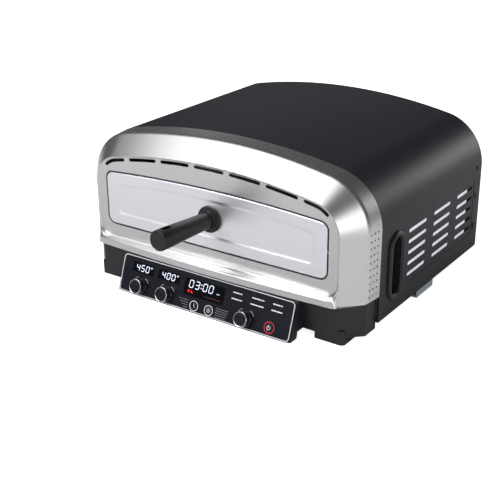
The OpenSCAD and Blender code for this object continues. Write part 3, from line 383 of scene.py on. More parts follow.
def mesh_object(
    name: str, verts: Sequence[Vector], faces: Sequence[Sequence[int]], angle: float = 32.0
) -> bpy.types.Object:
    """Make a mesh object with outward normals, smooth below an edge angle.

    Args:
        name: the object's name.
        verts: points in metres.
        faces: vertex indices of each face.
        angle: the largest edge angle in degrees that is shaded smooth.

    Returns:
        The new object, linked to the scene.
    """
    mesh = bpy.data.meshes.new(name)
    mesh.from_pydata([tuple(v) for v in verts], [], [list(f) for f in faces])
    work = bmesh.new()
    work.from_mesh(mesh)
    bmesh.ops.remove_doubles(work, verts=work.verts, dist=1e-7)
    bmesh.ops.recalc_face_normals(work, faces=work.faces)
    work.to_mesh(mesh)
    work.free()
    mesh.shade_smooth()
    mesh.set_sharp_from_angle(angle=math.radians(angle))
    return add_object(name, mesh)


def skin(
    name: str,
    loops: Sequence[Loop],
    start_cap: bool = False,
    end_cap: bool = False,
    angle: float = 32.0,
) -> bpy.types.Object:
    """Join closed loops of equal length into one surface.

    Args:
        name: the object's name.
        loops: the loops in order.
        start_cap: whether a face closes the first loop.
        end_cap: whether a face closes the last loop.
        angle: the largest edge angle in degrees that is shaded smooth.

    Returns:
        The new object.
    """
    count = len(loops[0])
    verts = [v for loop in loops for v in loop]
    faces: list[list[int]] = []
    for k in range(len(loops) - 1):
        for i in range(count):
            j = (i + 1) % count
            faces.append([k * count + i, k * count + j, (k + 1) * count + j, (k + 1) * count + i])
    if start_cap:
        faces.append(list(range(count)))
    if end_cap:
        faces.append([(len(loops) - 1) * count + i for i in range(count)])
    return mesh_object(name, verts, faces, angle)


def settle(obj: bpy.types.Object, angle: float = 32.0) -> None:
    """Apply an object's modifiers to its mesh and set its normals.

    Args:
        obj: the object.
        angle: the largest edge angle in degrees that is shaded smooth.
    """
    graph = bpy.context.evaluated_depsgraph_get()
    mesh = bpy.data.meshes.new_from_object(obj.evaluated_get(graph))
    obj.modifiers.clear()
    obj.data = mesh
    mesh.shade_smooth()
    mesh.set_sharp_from_angle(angle=math.radians(angle))
    even_normals(obj)


def cut(obj: bpy.types.Object, cutter: bpy.types.Object) -> None:
    """Take a closed cutter out of an object and remove the cutter.

    Args:
        obj: the object that is cut.
        cutter: the closed mesh to take away.
    """
    tool = obj.modifiers.new("cut", "BOOLEAN")
    tool.operation = "DIFFERENCE"
    tool.solver = "MANIFOLD"
    tool.object = cutter
    settle(obj)
    bpy.data.objects.remove(cutter)


def rounded_path(corners: Sequence[tuple[float, float, float, int]]) -> list[Pair]:
    """Round the corners of an open path.

    Args:
        corners: each corner's two coordinates, its radius and its number of steps; the first and
            last are plain ends, and no steps leave a corner sharp.

    Returns:
        The path's points. A corner that doesn't turn gives its steps along the line.
    """
    path = [corners[0][:2]]
    for before, here, after in zip(corners, corners[1:], corners[2:]):
        tip = Vector(here[:2])
        back = (Vector(before[:2]) - tip).normalized()
        ahead = (Vector(after[:2]) - tip).normalized()
        radius, steps = here[2], here[3]
        if not steps:
            path.append(tuple(tip))
            continue
        turn = math.pi - back.angle(ahead)
        if turn < 0.02:
            for i in range(steps + 1):
                path.append(tuple(tip + ahead * radius * (i / steps - 0.5)))
            continue
        reach = radius * math.tan(turn / 2)
        start, end = tip + back * reach, tip + ahead * reach
        middle = tip + (back + ahead).normalized() * radius / math.cos(turn / 2)
        first = start - middle
        last = end - middle
        for i in range(steps + 1):
            t = i / steps
            spin = math.sin(turn)
            mix = (first * math.sin((1 - t) * turn) + last * math.sin(t * turn)) / spin
            path.append(tuple(middle + mix))
    path.append(corners[-1][:2])
    return path


def circle(radius: float, centre: Pair = (0.0, 0.0), steps: int = 48) -> list[Pair]:
    """Points of a circle, in order."""
    return [
        (
            centre[0] + radius * math.cos(2 * math.pi * i / steps),
            centre[1] + radius * math.sin(2 * math.pi * i / steps),
        )
        for i in range(steps)
    ]


def arc(radius: float, centre: Pair, angles: Sequence[float]) -> list[Pair]:
    """Points at the given angles, in degrees, round a centre."""
    turns = [math.radians(a) for a in angles]
    return [(centre[0] + radius * math.cos(t), centre[1] + radius * math.sin(t)) for t in turns]


def placed(outline: Sequence[Pair], where: Matrix, height: float) -> Loop:
    """Lay an outline in millimetres at a height in a local frame."""
    return [point(*(where @ Vector((u, v, height)))) for u, v in outline]


def lathe(
    name: str, profile: Sequence[Pair], where: Matrix, steps: int = 64
) -> bpy.types.Object:
    """Turn a profile round a local z axis.

    Args:
        name: the object's name.
        profile: radius and height pairs in millimetres; the ends are closed by flat caps.
        where: the axis frame in millimetres of the front-plane frame.
        steps: the points round the axis.

    Returns:
        The new object.
    """
    loops = [placed(circle(radius, steps=steps), where, height) for radius, height in profile]
    return skin(name, loops, True, True)


def ring_plate(
    name: str, outer: Sequence[Pair], inner: Sequence[Pair], where: Matrix, low: float, high: float
) -> bpy.types.Object:
    """Make a flat ring between two outlines of equal length.

    Args:
        name: the object's name.
        outer: the outer outline in millimetres.
        inner: the inner outline in millimetres.
        where: the ring's frame in millimetres of the front-plane frame.
        low: height of its underside.
        high: height of its top.

    Returns:
        The new object.
    """
    stack = [(outer, low), (outer, high), (inner, high), (inner, low), (outer, low)]
    return skin(name, [placed(outline, where, height) for outline, height in stack])


def stroke(path: Sequence[Pair], width: float, cap: int = 6) -> list[Pair]:
    """Outline of a line of a given width with round ends.

    Args:
        path: the line's points.
        width: its width.
        cap: steps in each round end.

    Returns:
        The closed outline.
    """
    line = [Vector(p) for p in path]
    half = width / 2

    def side(i: int) -> Vector:
        """The unit vector to the left of the line at point i."""
        a = line[max(i - 1, 0)]
        b = line[min(i + 1, len(line) - 1)]
        d = (b - a).normalized()
        return Vector((-d.y, d.x))

    def round_end(tip: Vector, out: Vector) -> list[Vector]:
        """The points of a round end, from the line's right side or its left."""
        along = Vector((out.y, -out.x))
        turns = [math.pi * i / cap for i in range(1, cap)]
        return [tip - out * half * math.cos(a) + along * half * math.sin(a) for a in turns]

    sides = [side(i) * half for i in range(len(line))]
    outline = [p - d for p, d in zip(line, sides)]
    outline += round_end(line[-1], side(len(line) - 1))
    outline += reversed([p + d for p, d in zip(line, sides)])
    outline += round_end(line[0], -side(0))
    return [(p.x, p.y) for p in outline]


def add_prism(verts: Loop, faces: list[list[int]], low: Loop, high: Loop) -> None:
    """Add a closed prism between two loops to a mesh's points and faces.

    Args:
        verts: the mesh's points, which grow.
        faces: the mesh's faces, which grow.
        low: the loop at one end.
        high: the loop at the other end, in the same order.
    """
    base, n = len(verts), len(low)
    verts.extend(low + high)
    faces.append(list(range(base, base + n)))
    faces.append(list(range(base + n, base + 2 * n)))
    for i in range(n):
        j = (i + 1) % n
        faces.append([base + i, base + j, base + n + j, base + n + i])


def flat_marks(
    name: str, shapes: Sequence[Sequence[Pair]], where: Matrix, low: float, high: float
) -> bpy.types.Object:
    """Make thin flat marks as one mesh.

    Args:
        name: the object's name.
        shapes: closed outlines in the marks' plane.
        where: that plane's frame in millimetres of the front-plane frame.
        low: height of the marks' undersides.
        high: height of their tops.

    Returns:
        The new object.
    """
    verts: Loop = []
    faces: list[list[int]] = []
    for shape in shapes:
        add_prism(verts, faces, placed(shape, where, low), placed(shape, where, high))
    return mesh_object(name, verts, faces)


def ease(t: float) -> float:
    """A share from 0 to 1 with soft ends."""
    return t * t * (3 - 2 * t)


def smooth_max(a: float, b: float, soft: float) -> float:
    """The larger of two numbers, with the corner between them rounded off."""
    gap = max(soft - abs(a - b), 0.0) / soft
    return max(a, b) + gap * gap * soft / 4


@dataclass
class Steps:
    """How many points each stretch of an outline gets."""

    bottom: int = 72
    corner: int = 8
    side: int = 26
    shoulder: int = 26
    crown: int = 72

    def total(self) -> int:
        """The points of the whole outline."""
        return self.bottom + self.crown + 2 * (self.corner + self.side + self.shoulder)


@dataclass
class Arch:
    """The casing's arched outline and others that share its order of points."""

    half_width: float = 240.0
    top: float = 248.0
    shoulder_radius: float = 76.8
    steps: Steps = field(default_factory=Steps)

    @property
    def shoulder_x(self) -> float:
        """How far a shoulder's centre lies from the middle."""
        return self.half_width - self.shoulder_radius

    @property
    def crown_radius(self) -> float:
        """Radius of the crown."""
        return self.shoulder_radius + self.shoulder_x * SLANT / RISE

    @property
    def crown_z(self) -> float:
        """Height of the crown's centre."""
        return self.top - self.crown_radius

    @property
    def shoulder_z(self) -> float:
        """Height of the shoulders' centres."""
        return self.crown_z + self.shoulder_x * RUN / RISE

    @property
    def half_angle(self) -> float:
        """Half the crown's angle."""
        return math.atan(RISE / RUN)

    def walk(
        self, half: float, low: float, corner: float, shoulder: Triple, crown: Triple
    ) -> list[Pair]:
        """Sample a symmetric outline with an arched top.

        Args:
            half: half its width.
            low: height of its lower edge.
            corner: radius of the two lower corners.
            shoulder: x, z and radius of the right upper corner.
            crown: height of the top arc's centre, its radius and half its angle.

        Returns:
            The outline's points, anticlockwise seen from the front.
        """
        s = self.steps
        x, z, r = shoulder
        centre, big, tilt = crown
        quarter = math.pi / 2
        right: list[Pair] = []
        for i in range(s.corner):
            a = i / s.corner * quarter
            right.append((
                half - corner + corner * math.sin(a), low + corner - corner * math.cos(a)
            ))
        right += [(half, low + corner + i / s.side * (z - low - corner)) for i in range(s.side)]
        for i in range(s.shoulder + 1):
            a = i / s.shoulder * (quarter - tilt)
            right.append((x + r * math.cos(a), z + r * math.sin(a)))
        left = [(-u, v) for u, v in reversed(right)]
        points = [((2 * i / s.bottom - 1) * (half - corner), low) for i in range(s.bottom)]
        points += right[:-1]
        for i in range(s.crown):
            a = tilt * (1 - 2 * i / s.crown)
            points.append((big * math.sin(a), centre + big * math.cos(a)))
        return points + left[:-1]

    def outline(self, inset: float, base: float, corner: float) -> list[Pair]:
        """The arch drawn in.

        Args:
            inset: distance inside the casing's outline.
            base: height of the lower edge.
            corner: radius of the two lower corners.

        Returns:
            The outline's x and z pairs.
        """
        shoulder = (self.shoulder_x, self.shoulder_z, self.shoulder_radius - inset)
        crown = (self.crown_z, self.crown_radius - inset, self.half_angle)
        return self.walk(self.half_width - inset, base, corner, shoulder, crown)

    def window(
        self, half: float, low: float, high: float, corner: float, bow: float
    ) -> list[Pair]:
        """A rectangle with round corners and an arched top.

        Args:
            half: half its width.
            low: height of its lower edge.
            high: height of its top in the middle.
            corner: radius of its corners.
            bow: radius of its top edge.

        Returns:
            The outline's x and z pairs, in the order of outline().
        """
        tilt = math.asin((half - corner) / (bow - corner))
        seat = high - bow + (bow - corner) * math.cos(tilt)
        shoulder = (half - corner, seat, corner)
        return self.walk(half, low, corner, shoulder, (high - bow, bow, tilt))


@dataclass
class Bezel:
    """The pressed stainless front with its recess, slots and perforations.

    The first group of values shapes the joint, the bevel and the rim, the second the recess and
    the loops that lead into it, the third the opening, the last two the slots and the holes.
    """

    arch: Arch
    base: float = 59.8
    seam: float = 57.5
    ridge: float = 29.5
    draft: float = 2.5
    slope: float = 0.9
    bow: float = 2700.0
    lip: float = 17.0
    lean: float = 0.0635
    soften: float = 5.0
    sill: float = 72.0
    lip_middle: float = 6.0
    lip_inset: float = 33.0
    lip_corner: float = 4.0
    thickness: float = 1.4

    floor: float = 1.0
    floor_inset: float = 32.6
    wall_slope: float = 1.0
    crest: float = -1.0
    rim_corner: float = 1.5
    recess_corner: float = 18.0
    corner_from: int = 17
    corner_over: int = 4
    corner_blend: int = 5

    mouth_half: float = 192.5
    mouth_low: float = 92.6
    mouth_top: float = 183.5
    mouth_corner: float = 13.0
    mouth_bow: float = 2300.0
    mouth_edge: tuple[Pair, ...] = ((1.2, 0.0), (0.35, 0.25), (0.0, 1.0), (0.0, 9.0))

    slot_inset: float = 36.2
    slot_height: float = 5.0
    slot_pitch: float = 60.0
    slot_reach: float = 23.0
    slot_step: float = 14.0
    slot_turn: float = 29.0
    slot_cut: Pair = (-14.0, 7.5)

    hole: float = 2.8
    hole_rows: int = 3
    hole_first: float = 3.6
    hole_row: float = 8.0
    crown_holes: int = 19
    crown_pitch: float = 9.0
    crown_cut: Pair = (-8.0, 3.0)
    side_holes: int = 10
    side_pitch: float = 9.9
    side_cut: Pair = (232.0, 243.0)

    def mouth(self, grow: float) -> list[Pair]:
        """The outline of the door's opening, grown by a distance in millimetres."""
        return self.arch.window(
            self.mouth_half + grow, self.mouth_low - grow, self.mouth_top + grow,
            self.mouth_corner + grow, self.mouth_bow + grow,
        )

    def front(self, x: float, z: float) -> float:
        """Depth of the bulging front and of the bevel at its sides, softly joined."""
        bulge = -self.lip + (z - self.base) * self.lean + x * x / (2 * self.bow)
        bevel = self.ridge - (self.arch.half_width - abs(x) - self.draft) / self.slope
        return smooth_max(bulge, bevel, self.soften)

    def side_profile(self) -> list[Pair]:
        """Inset and depth from the joint over the bevel and the rim to the recess's floor."""
        crest = self.crest
        return rounded_path([
            (0.0, self.seam, 0, 0),
            (self.draft, self.ridge, 11.0, 9),
            (self.draft + self.slope * (self.ridge - crest), crest, 0.7, 6),
            (self.floor_inset - self.wall_slope * (self.floor - crest), crest, 0.7, 6),
            (self.floor_inset, self.floor, 2.4, 6),
            (self.floor_inset + 5, self.floor, 0, 0),
        ])

    def lip_profile(self, front: float) -> list[Pair]:
        """Height over the lower edge and depth along the lip, for one depth of the front."""
        rise = self.sill - self.base
        return rounded_path([
            (0.0, self.seam, 0, 0),
            (0.0, self.ridge, 11.0, 9),
            (0.0, front, 1.6, 6),
            (rise, front, 2.6, 6),
            (rise + 0.2, self.floor, 3.0, 6),
            (rise + 5, self.floor, 0, 0),
        ])

    def lip_share(self, i: int) -> float:
        """How far point i of a loop follows the lip instead of the side."""
        steps = self.arch.steps
        away = min(max(i - steps.bottom, 0), steps.total() - i)
        return ease(max(1 - away / (steps.corner + self.corner_blend), 0.0))

    def loops(self) -> list[Loop]:
        """All loops from the joint to the edge of the door's opening."""
        arch = self.arch
        side = self.side_profile()
        middle = self.base + self.lip_middle
        reference = arch.outline(self.lip_inset, middle, self.lip_corner)
        lips = [self.lip_profile(self.front(x, middle)) for x, _ in reference]
        heights = [rise for rise, _ in lips[arch.steps.bottom // 2]]
        shares = [self.lip_share(i) for i in range(arch.steps.total())]
        loops: list[Loop] = []
        for k, (inset, depth) in enumerate(side):
            grown = min(max(k - self.corner_from, 0) / self.corner_over, 1.0)
            corner = self.rim_corner + (self.recess_corner - self.rim_corner) * grown
            ring = arch.outline(inset, self.base + heights[k], corner)
            loops.append([
                point(x, depth * (1 - share) + lip[k][1] * share, z)
                for (x, z), share, lip in zip(ring, shares, lips)
            ])
        last = arch.outline(side[-1][0], self.base + heights[-1], self.recess_corner)
        inner = self.mouth(self.mouth_edge[0][0])
        for t in (0.35, 0.7, 1.0):
            loops.append([
                point(a[0] + (b[0] - a[0]) * t, self.floor, a[1] + (b[1] - a[1]) * t)
                for a, b in zip(last, inner)
            ])
        for grow, depth in self.mouth_edge[1:]:
            loops.append([point(x, self.floor + depth, z) for x, z in self.mouth(grow)])
        return loops

    def slot_lines(self) -> list[list[Pair]]:
        """Centre lines of the seven slots."""
        arch = self.arch
        r = arch.crown_radius - self.slot_inset
        small = arch.shoulder_radius - self.slot_inset
        step = self.slot_pitch / r
        half = self.slot_reach / r

        def along(start: float, end: float, parts: int) -> list[Pair]:
            """Points under the crown between two angles from the middle."""
            angles = [start + (end - start) * j / parts for j in range(parts + 1)]
            return [(r * math.sin(a), arch.crown_z + r * math.cos(a)) for a in angles]

        lines = [along(i * step - half, i * step + half, 12) for i in (-2, -1, 0, 1, 2)]
        bend = along(2 * step + half + self.slot_step / r, arch.half_angle, 6)[:-1]
        start = 90 - math.degrees(arch.half_angle)
        turns = [start - self.slot_turn * j / 12 for j in range(13)]
        bend += arc(small, (arch.shoulder_x, arch.shoulder_z), turns)
        return lines + [bend, [(-x, z) for x, z in bend]]

    def cutter(self) -> bpy.types.Object:
        """One mesh with every slot and perforation."""
        arch = self.arch
        verts: Loop = []
        faces: list[list[int]] = []
        for line in self.slot_lines():
            shape = stroke(line, self.slot_height)
            add_prism(verts, faces, *([point(x, y, z) for x, z in shape] for y in self.slot_cut))
        hole = circle(self.hole / 2, steps=12)
        for row in range(self.hole_rows):
            y = self.ridge + self.hole_first + row * self.hole_row
            for i in range(-self.crown_holes, self.crown_holes + 1):
                a = i * self.crown_pitch / arch.crown_radius
                out = Vector((math.sin(a), 0, math.cos(a)))
                across = Vector((math.cos(a), 0, -math.sin(a)))
                rings = []
                for r in self.crown_cut:
                    centre = Vector((0, y, arch.crown_z)) + out * (arch.crown_radius + r)
                    rings.append([
                        point(*(centre + across * u + Vector((0, v, 0)))) for u, v in hole
                    ])
                add_prism(verts, faces, *rings)
            for i in range(self.side_holes):
                z = self.base + self.side_pitch * (i + 0.9)
                for s in (-1, 1):
                    rings = [[point(s * x, y + u, z + v) for u, v in hole] for x in self.side_cut]
                    add_prism(verts, faces, *rings)
        return mesh_object("bezel_cutter", verts, faces)

    def build(self) -> None:
        """Make the front, cut its openings and dress it."""
        obj = skin("front_bezel_pressing", self.loops(), angle=50)
        shell = obj.modifiers.new("sheet", "SOLIDIFY")
        shell.thickness = self.thickness * MM
        shell.offset = -1.0
        shell.use_even_offset = True
        settle(obj, 50)
        # The even normals are set again after the cut
        obj.modifiers.clear()
        cut(obj, self.cutter())
        show(obj, BRUSHED_STAINLESS, "oven", "front_bezel")


@dataclass
class Door:
    """The lift-out door with its pressed field and its long handle."""

    arch: Arch
    half: float = 190.3
    low: float = 94.8
    high: float = 181.3
    bow: float = 2297.8
    corner: float = 10.8
    face: float = 0.4
    sink: float = 1.5
    back: float = 9.9
    handle_z: float = 139.0
    rise: float = 3.0
    length: float = 114.0
    field_half: float = 171.0
    field_low: float = 112.5
    field_top: float = 166.0
    field_corner: float = 9.0
    field_bow: float = 1450.0
    field_slope: Pair = (3.2, -3.0)
    field_end: float = -6.0
    edge: float = 1.3

    def panel(self) -> None:
        """Make the folded door panel with its soft pressed field."""
        arch = self.arch
        loops: list[Loop] = []

        def rim(shrink: float, y: float) -> None:
            """Add a loop of the panel's outer shape."""
            ring = arch.window(
                self.half - shrink, self.low + shrink, self.high - shrink,
                max(self.corner - shrink, 1.0), self.bow - shrink,
            )
            loops.append([point(x, y, z) for x, z in ring])

        def press(grow: float, y: float) -> None:
            """Add a loop of the pressed field's shape."""
            ring = arch.window(
                self.field_half + grow, self.field_low - grow, self.field_top + grow,
                self.field_corner + grow, self.field_bow + grow,
            )
            loops.append([point(x, y, z) for x, z in ring])

        rim(1.2, self.back)
        rim(0.0, self.back - 0.4)
        for a in (0, 20, 40, 60, 80, 90):
            t = math.radians(a)
            rim(self.edge * (1 - math.cos(t)), self.face + self.edge * (1 - math.sin(t)))
        rim(3.0, self.face)
        outer, inner = self.field_slope
        for i in range(11):
            press(outer + (inner - outer) * i / 10, self.face + self.sink * ease(i / 10))
        press(self.field_end, self.face + self.sink)
        obj = skin("door_pressing", loops, end_cap=True, angle=45)
        even_normals(obj)
        show(obj, SATIN_STAINLESS, "door", "door_panel")

    def axis(self) -> Matrix:
        """The handle's frame: z out along its axis, from the door's pressed field."""
        spot = Matrix.Translation((0, self.face + self.sink, self.handle_z))
        return spot @ Matrix.Rotation(math.radians(90 - self.rise), 4, "X")

    def handle(self) -> None:
        """Make the rosette and the tapered bar with its hanging slot."""
        where = self.axis()
        rosette = rounded_path([
            (0.2, 0.35, 0, 0), (18.6, 0.35, 0, 0), (19.25, 0.35, 0.3, 2), (19.25, 5.0, 1.8, 6),
            (14.2, 5.0, 0.8, 4), (13.2, 9.0, 1.2, 5), (11.4, 9.0, 0, 0), (0.2, 9.0, 0, 0),
        ])
        obj = lathe("handle_rosette_moulding", rosette, where)
        show(obj, MOULDED_PHENOLIC, "door", "handle_rosette")
        top = self.length
        bar = rounded_path([
            (0.2, 9.05, 0, 0), (11.8, 9.05, 0.5, 3), (12.1, 24.0, 60, 4), (14.5, top - 20, 60, 4),
            (14.5, top - 3.9, 0.25, 2), (14.05, top - 3.7, 0.1, 2), (14.05, top - 3.3, 0.1, 2),
            (14.5, top - 3.1, 0.25, 2), (14.5, top, 2.2, 6), (11.0, top, 0.5, 3),
            (10.6, top - 0.5, 0.3, 3), (0.2, top - 0.5, 0, 0),
        ])
        obj = lathe("handle_grip_moulding", bar, where)
        slot = stroke([(0, top - 21.0), (0, top - 13.0)], 9.0, 12)
        loops = [
            [point(*(where @ Vector((u, h, v)))) for u, v in slot] for h in (-20.0, 20.0)
        ]
        cut(obj, skin("hanging_slot", loops, True, True))
        show(obj, MOULDED_PHENOLIC, "door", "handle_bar")

    def build(self) -> None:
        """Make the door's visible pieces and dress the rest."""
        self.panel()
        self.handle()
        dress(ALUMINISED_SHEET, "door_pan")
        dress(CERAMIC_WOOL, "door_wool")
        dress(ZINC_PLATE, "door_catches", "handle_stud")


@dataclass
class Grips:
    """The two moulded pockets in the casing's sides."""

    y: float = 101.7
    z: float = 90.6
    width: float = 44.0
    height: float = 101.0
    wall: float = 240.0
    out: float = 4.1
    deep: float = 24.0

    def track(self, inset: float, steps: int = 20) -> list[Pair]:
        """An upright racetrack's y and z offsets, drawn in."""
        r = self.width / 2 - inset
        run = self.height / 2 - self.width / 2
        half_turn = [180 * i / steps for i in range(steps + 1)]
        return arc(r, (0, run), half_turn) + arc(r, (0, -run), [180 + a for a in half_turn])

    def build(self) -> None:
        """Make both grips."""
        path = rounded_path([
            (7.0, -5.5, 0, 0), (7.0, 0.1, 0, 0), (0.0, 0.1, 0, 0), (0.0, 2.2, 1.6, 5),
            (2.4, self.out, 1.6, 5), (6.4, self.out, 2.2, 6), (8.6, 1.2, 1.4, 5),
            (9.0, -self.deep, 2.0, 5), (12.0, -self.deep, 0, 0),
        ])
        for name, s in (("left", -1), ("right", 1)):
            loops = [
                [point(s * (self.wall + x), self.y + u, self.z + v) for u, v in self.track(e)]
                for e, x in path
            ]
            obj = skin(f"grip_moulding_{name}", loops, end_cap=True, angle=40)
            show(obj, MOULDED_ABS, "oven", f"grip_{name}")


class Segment(Enum):
    """The seven strokes of a display digit: start, end in units of its width and height."""

    TOP = ((0, 2), (1, 2))
    UPPER_RIGHT = ((1, 2), (1, 1))
    LOWER_RIGHT = ((1, 1), (1, 0))
    BOTTOM = ((0, 0), (1, 0))
    LOWER_LEFT = ((0, 1), (0, 0))
    UPPER_LEFT = ((0, 2), (0, 1))
    MIDDLE = ((0, 1), (1, 1))


# The lit strokes of each digit, numbered from 1 in Segment's order
DIGITS = {"0": "123456", "3": "12347", "4": "2367", "5": "13467"}


@dataclass
class Panel:
    """The sloping control panel with its displays, knobs, buttons and print."""

    tilt: float = 20.0
    z: float = 29.5
    out: float = 20.5
    knob_drop: float = 14.2
    knob_arc: float = 14.6
    digit_slant: float = 0.12
    digit_stroke: float = 1.1
    digit_gap: float = 0.75
    timer: Pair = (-10.5, -18.3)
    light: Pair = (15.7, -18.3)
    power: Pair = (117.7, -16.0)
    face_marks: Pair = (0.02, 0.12)
    button_marks: Pair = (1.5, 1.75)
    knobs: tuple[tuple[str, str, float], ...] = (
        ("top_heat_knob", "knob_top_heat", -112.7),
        ("base_heat_knob", "knob_base_heat", -63.7),
        ("mode_knob", "knob_mode", 77.0),
    )

    def at(self, u: float, v: float) -> Matrix:
        """The frame on the panel's face at a point, z out of the face."""
        base = Matrix.Translation((0, -self.out, self.z))
        turn = Matrix.Rotation(math.radians(90 - self.tilt), 4, "X")
        return base @ turn @ Matrix.Translation((u, v, 0))

    def digit(self, char: str, centre: Pair, size: Pair) -> list[list[Pair]]:
        """Outlines of a display digit's lit strokes.

        Args:
            char: the digit.
            centre: its middle on the panel.
            size: its width and height.

        Returns:
            One outline a stroke.
        """
        strokes = []
        for number, segment in enumerate(Segment, 1):
            if str(number) not in DIGITS[char]:
                continue
            (x0, y0), (x1, y1) = segment.value
            a = Vector(((x0 - 0.5) * size[0], (y0 / 2 - 0.5) * size[1]))
            b = Vector(((x1 - 0.5) * size[0], (y1 / 2 - 0.5) * size[1]))
            gap = (b - a).normalized() * self.digit_gap
            ends = [
                (centre[0] + p.x + p.y * self.digit_slant, centre[1] + p.y)
                for p in (a + gap, b - gap)
            ]
            strokes.append(stroke(ends, self.digit_stroke, 2))
        return strokes

    def lay(
        self, name: str, shapes: Sequence[Sequence[Pair]], finish: Finish, body: str = "oven"
    ) -> None:
        """Lay flat marks on the panel's face or on a button's face as one piece.

        Args:
            name: the piece's name.
            shapes: closed outlines in the panel's plane.
            finish: their finish.
            body: the body they ride on; any other than the oven is a button.
        """
        low, high = self.face_marks if body == "oven" else self.button_marks
        show(flat_marks(name, shapes, self.at(0, 0), low, high), finish, body)

    def displays(self) -> None:
        """Light the three displays."""
        lit: list[list[Pair]] = []
        for text, u, v in (("450", -113.6, 12.4), ("400", -64.6, 12.2)):
            for i, char in enumerate(text):
                lit += self.digit(char, (u + (i - 1) * 9.0, v), (5.3, 9.0))
            ring = circle(1.4, (u + 16.4, v + 3.7), 16)
            hole = circle(0.75, (u + 16.4, v + 3.7), 16)
            for i in range(16):
                j = (i + 1) % 16
                lit.append([ring[i], ring[j], hole[j], hole[i]])
        for i, char in enumerate("0300"):
            lit += self.digit(char, (-22.0 + i * 10.6 + (3.2 if i > 1 else 0), 11.4), (6.4, 10.6))
        for v in (8.9, 13.7):
            lit.append(circle(0.9, (-4.6 + v * 0.03, v), 10))
        lit.append(stroke([(23.6, 7.3), (28.4, 7.3)], 0.8, 2))
        self.lay("display_digits", lit, LIT_WHITE)
        red = [
            stroke([(-25.6, -0.6), (-25.0, 1.8)], 2.2, 4),
            stroke([(-21.2, 1.4), (-18.4, -0.6)], 1.7, 3),
            stroke([(-21.4, -0.9), (-17.8, -0.9)], 1.0, 3),
        ]
        self.lay("display_icons", red, LIT_RED)
        dim = [stroke([(4.0 + i * 4.6, -1.2), (7.2 + i * 4.6, -1.2)], 1.0, 2) for i in range(6)]
        self.lay("display_row", dim, DIM_RED)

    def marks(self) -> None:
        """Print the panel's white and grey marks."""
        white: list[list[Pair]] = []
        for u, length in ((59.1, 16.5), (93.0, 20.0), (125.5, 15.5)):
            for row, v in enumerate((17.4, 8.5)):
                reach = (length + 2.5 * row) / 2
                x = u - reach
                while x < u + reach - 1:
                    dash = min(3.4 if int(x * 7) % 3 else 2.0, u + reach - x)
                    white.append(stroke([(x, v), (x + dash - 0.9, v)], 1.7, 2))
                    x += dash + 0.5
        self.lay("programme_marks", white, WHITE_INK)
        lines = [(-12.7 - i * 3.55, -40.0 + i * 3.4, -22.6) for i in range(4)]
        lines += [(-12.0 - i * 3.2, 26.5, 48.0 - i * 0.8) for i in range(5)]
        grey = [stroke([(start, v), (end, v)], 0.5, 2) for v, start, end in lines]
        for _, _, u in self.knobs:
            for start, end in ((28, 62), (118, 152)):
                sweep = [start + (end - start) * j / 8 for j in range(9)]
                grey.append(stroke(arc(self.knob_arc, (u, -self.knob_drop), sweep), 0.9, 2))
        self.lay("fine_marks", grey, GREY_INK)

    def icons(self) -> None:
        """Print the icons, which ride on their buttons."""
        u, v = self.timer
        hands = stroke([(u, v + 3.3), (u, v - 0.1), (u + 1.5, v - 2.1)], 0.9, 3)
        self.lay("timer_icon", [hands], SILVER_FOIL, "timer_button")
        spokes = range(0, 360, 30)
        rays = zip(arc(2.3, self.light, spokes), arc(3.6, self.light, spokes))
        sun = [stroke(ray, 0.6, 2) for ray in rays] + [circle(1.3, self.light, 16)]
        self.lay("light_icon", sun, SILVER_FOIL, "light_button")
        u, v = self.power
        ring = stroke(arc(2.6, (u, v - 0.2), range(125, 416, 15)), 0.75, 3)
        stem = stroke([(u, v + 0.6), (u, v + 3.4)], 0.75, 3)
        self.lay("power_icon", [ring, stem], WHITE_INK, "power_button")

    def build_knobs(self) -> None:
        """Make the three knobs and their bright rings."""
        for body, node, u in self.knobs:
            where = self.at(u, -self.knob_drop)
            skirt = rounded_path([
                (0.2, -7.8, 0, 0), (3.0, -7.8, 0, 0), (3.0, 0.6, 0, 0), (11.6, 0.6, 0.4, 3),
                (12.0, 2.2, 1.0, 4), (11.0, 3.2, 0.8, 4), (10.75, 12.6, 0.4, 4),
                (9.9, 12.9, 0.2, 2), (9.5, 12.5, 0.3, 3), (0.2, 12.3, 0, 0),
            ])
            obj = lathe(f"{node}_cap", skirt, where, 72)
            show(obj, GLOSS_ABS, body, node)
            ring = rounded_path([
                (9.6, 12.4, 0, 0), (9.6, 13.3, 0.15, 2), (10.4, 13.45, 0.3, 3),
                (10.98, 13.0, 0.3, 3), (10.98, 12.0, 0, 0), (10.5, 11.9, 0, 0), (9.6, 12.4, 0, 0),
            ])
            loops = [placed(circle(radius, steps=72), where, height) for radius, height in ring]
            show(skin(f"{node}_ring", loops), SATIN_CHROME, body)

    def build_buttons(self) -> None:
        """Make the three push buttons with their rings."""
        for body, node, spot, radius in (
            ("timer_button", "button_timer", self.timer, 7.75),
            ("light_button", "button_light", self.light, 7.75),
            ("power_button", "button_power", self.power, 6.0),
        ):
            where = self.at(*spot)
            cap = rounded_path([
                (0.2, -5.6, 0, 0), (2.0, -5.6, 0, 0), (2.0, -2.0, 0, 0), (radius, -2.0, 0, 0),
                (radius, 1.6, 0.5, 4), (radius - 1.3, 1.6, 0.2, 2), (radius - 1.7, 1.35, 0.2, 2),
                (0.2, 1.5, 0, 0),
            ])
            show(lathe(f"{node}_cap", cap, where), GLOSS_ABS, body, node)
            if node == "button_power":
                ring = ring_plate(
                    "power_light_ring", circle(8.5), circle(7.1), where, 0.02, 0.35
                )
                show(ring, RED_GUIDE, "oven")
            else:
                ring = ring_plate(
                    f"{node}_ring", circle(radius - 0.1), circle(radius - 1.25), where, 1.4, 1.72
                )
                show(ring, SILVER_FOIL, body)

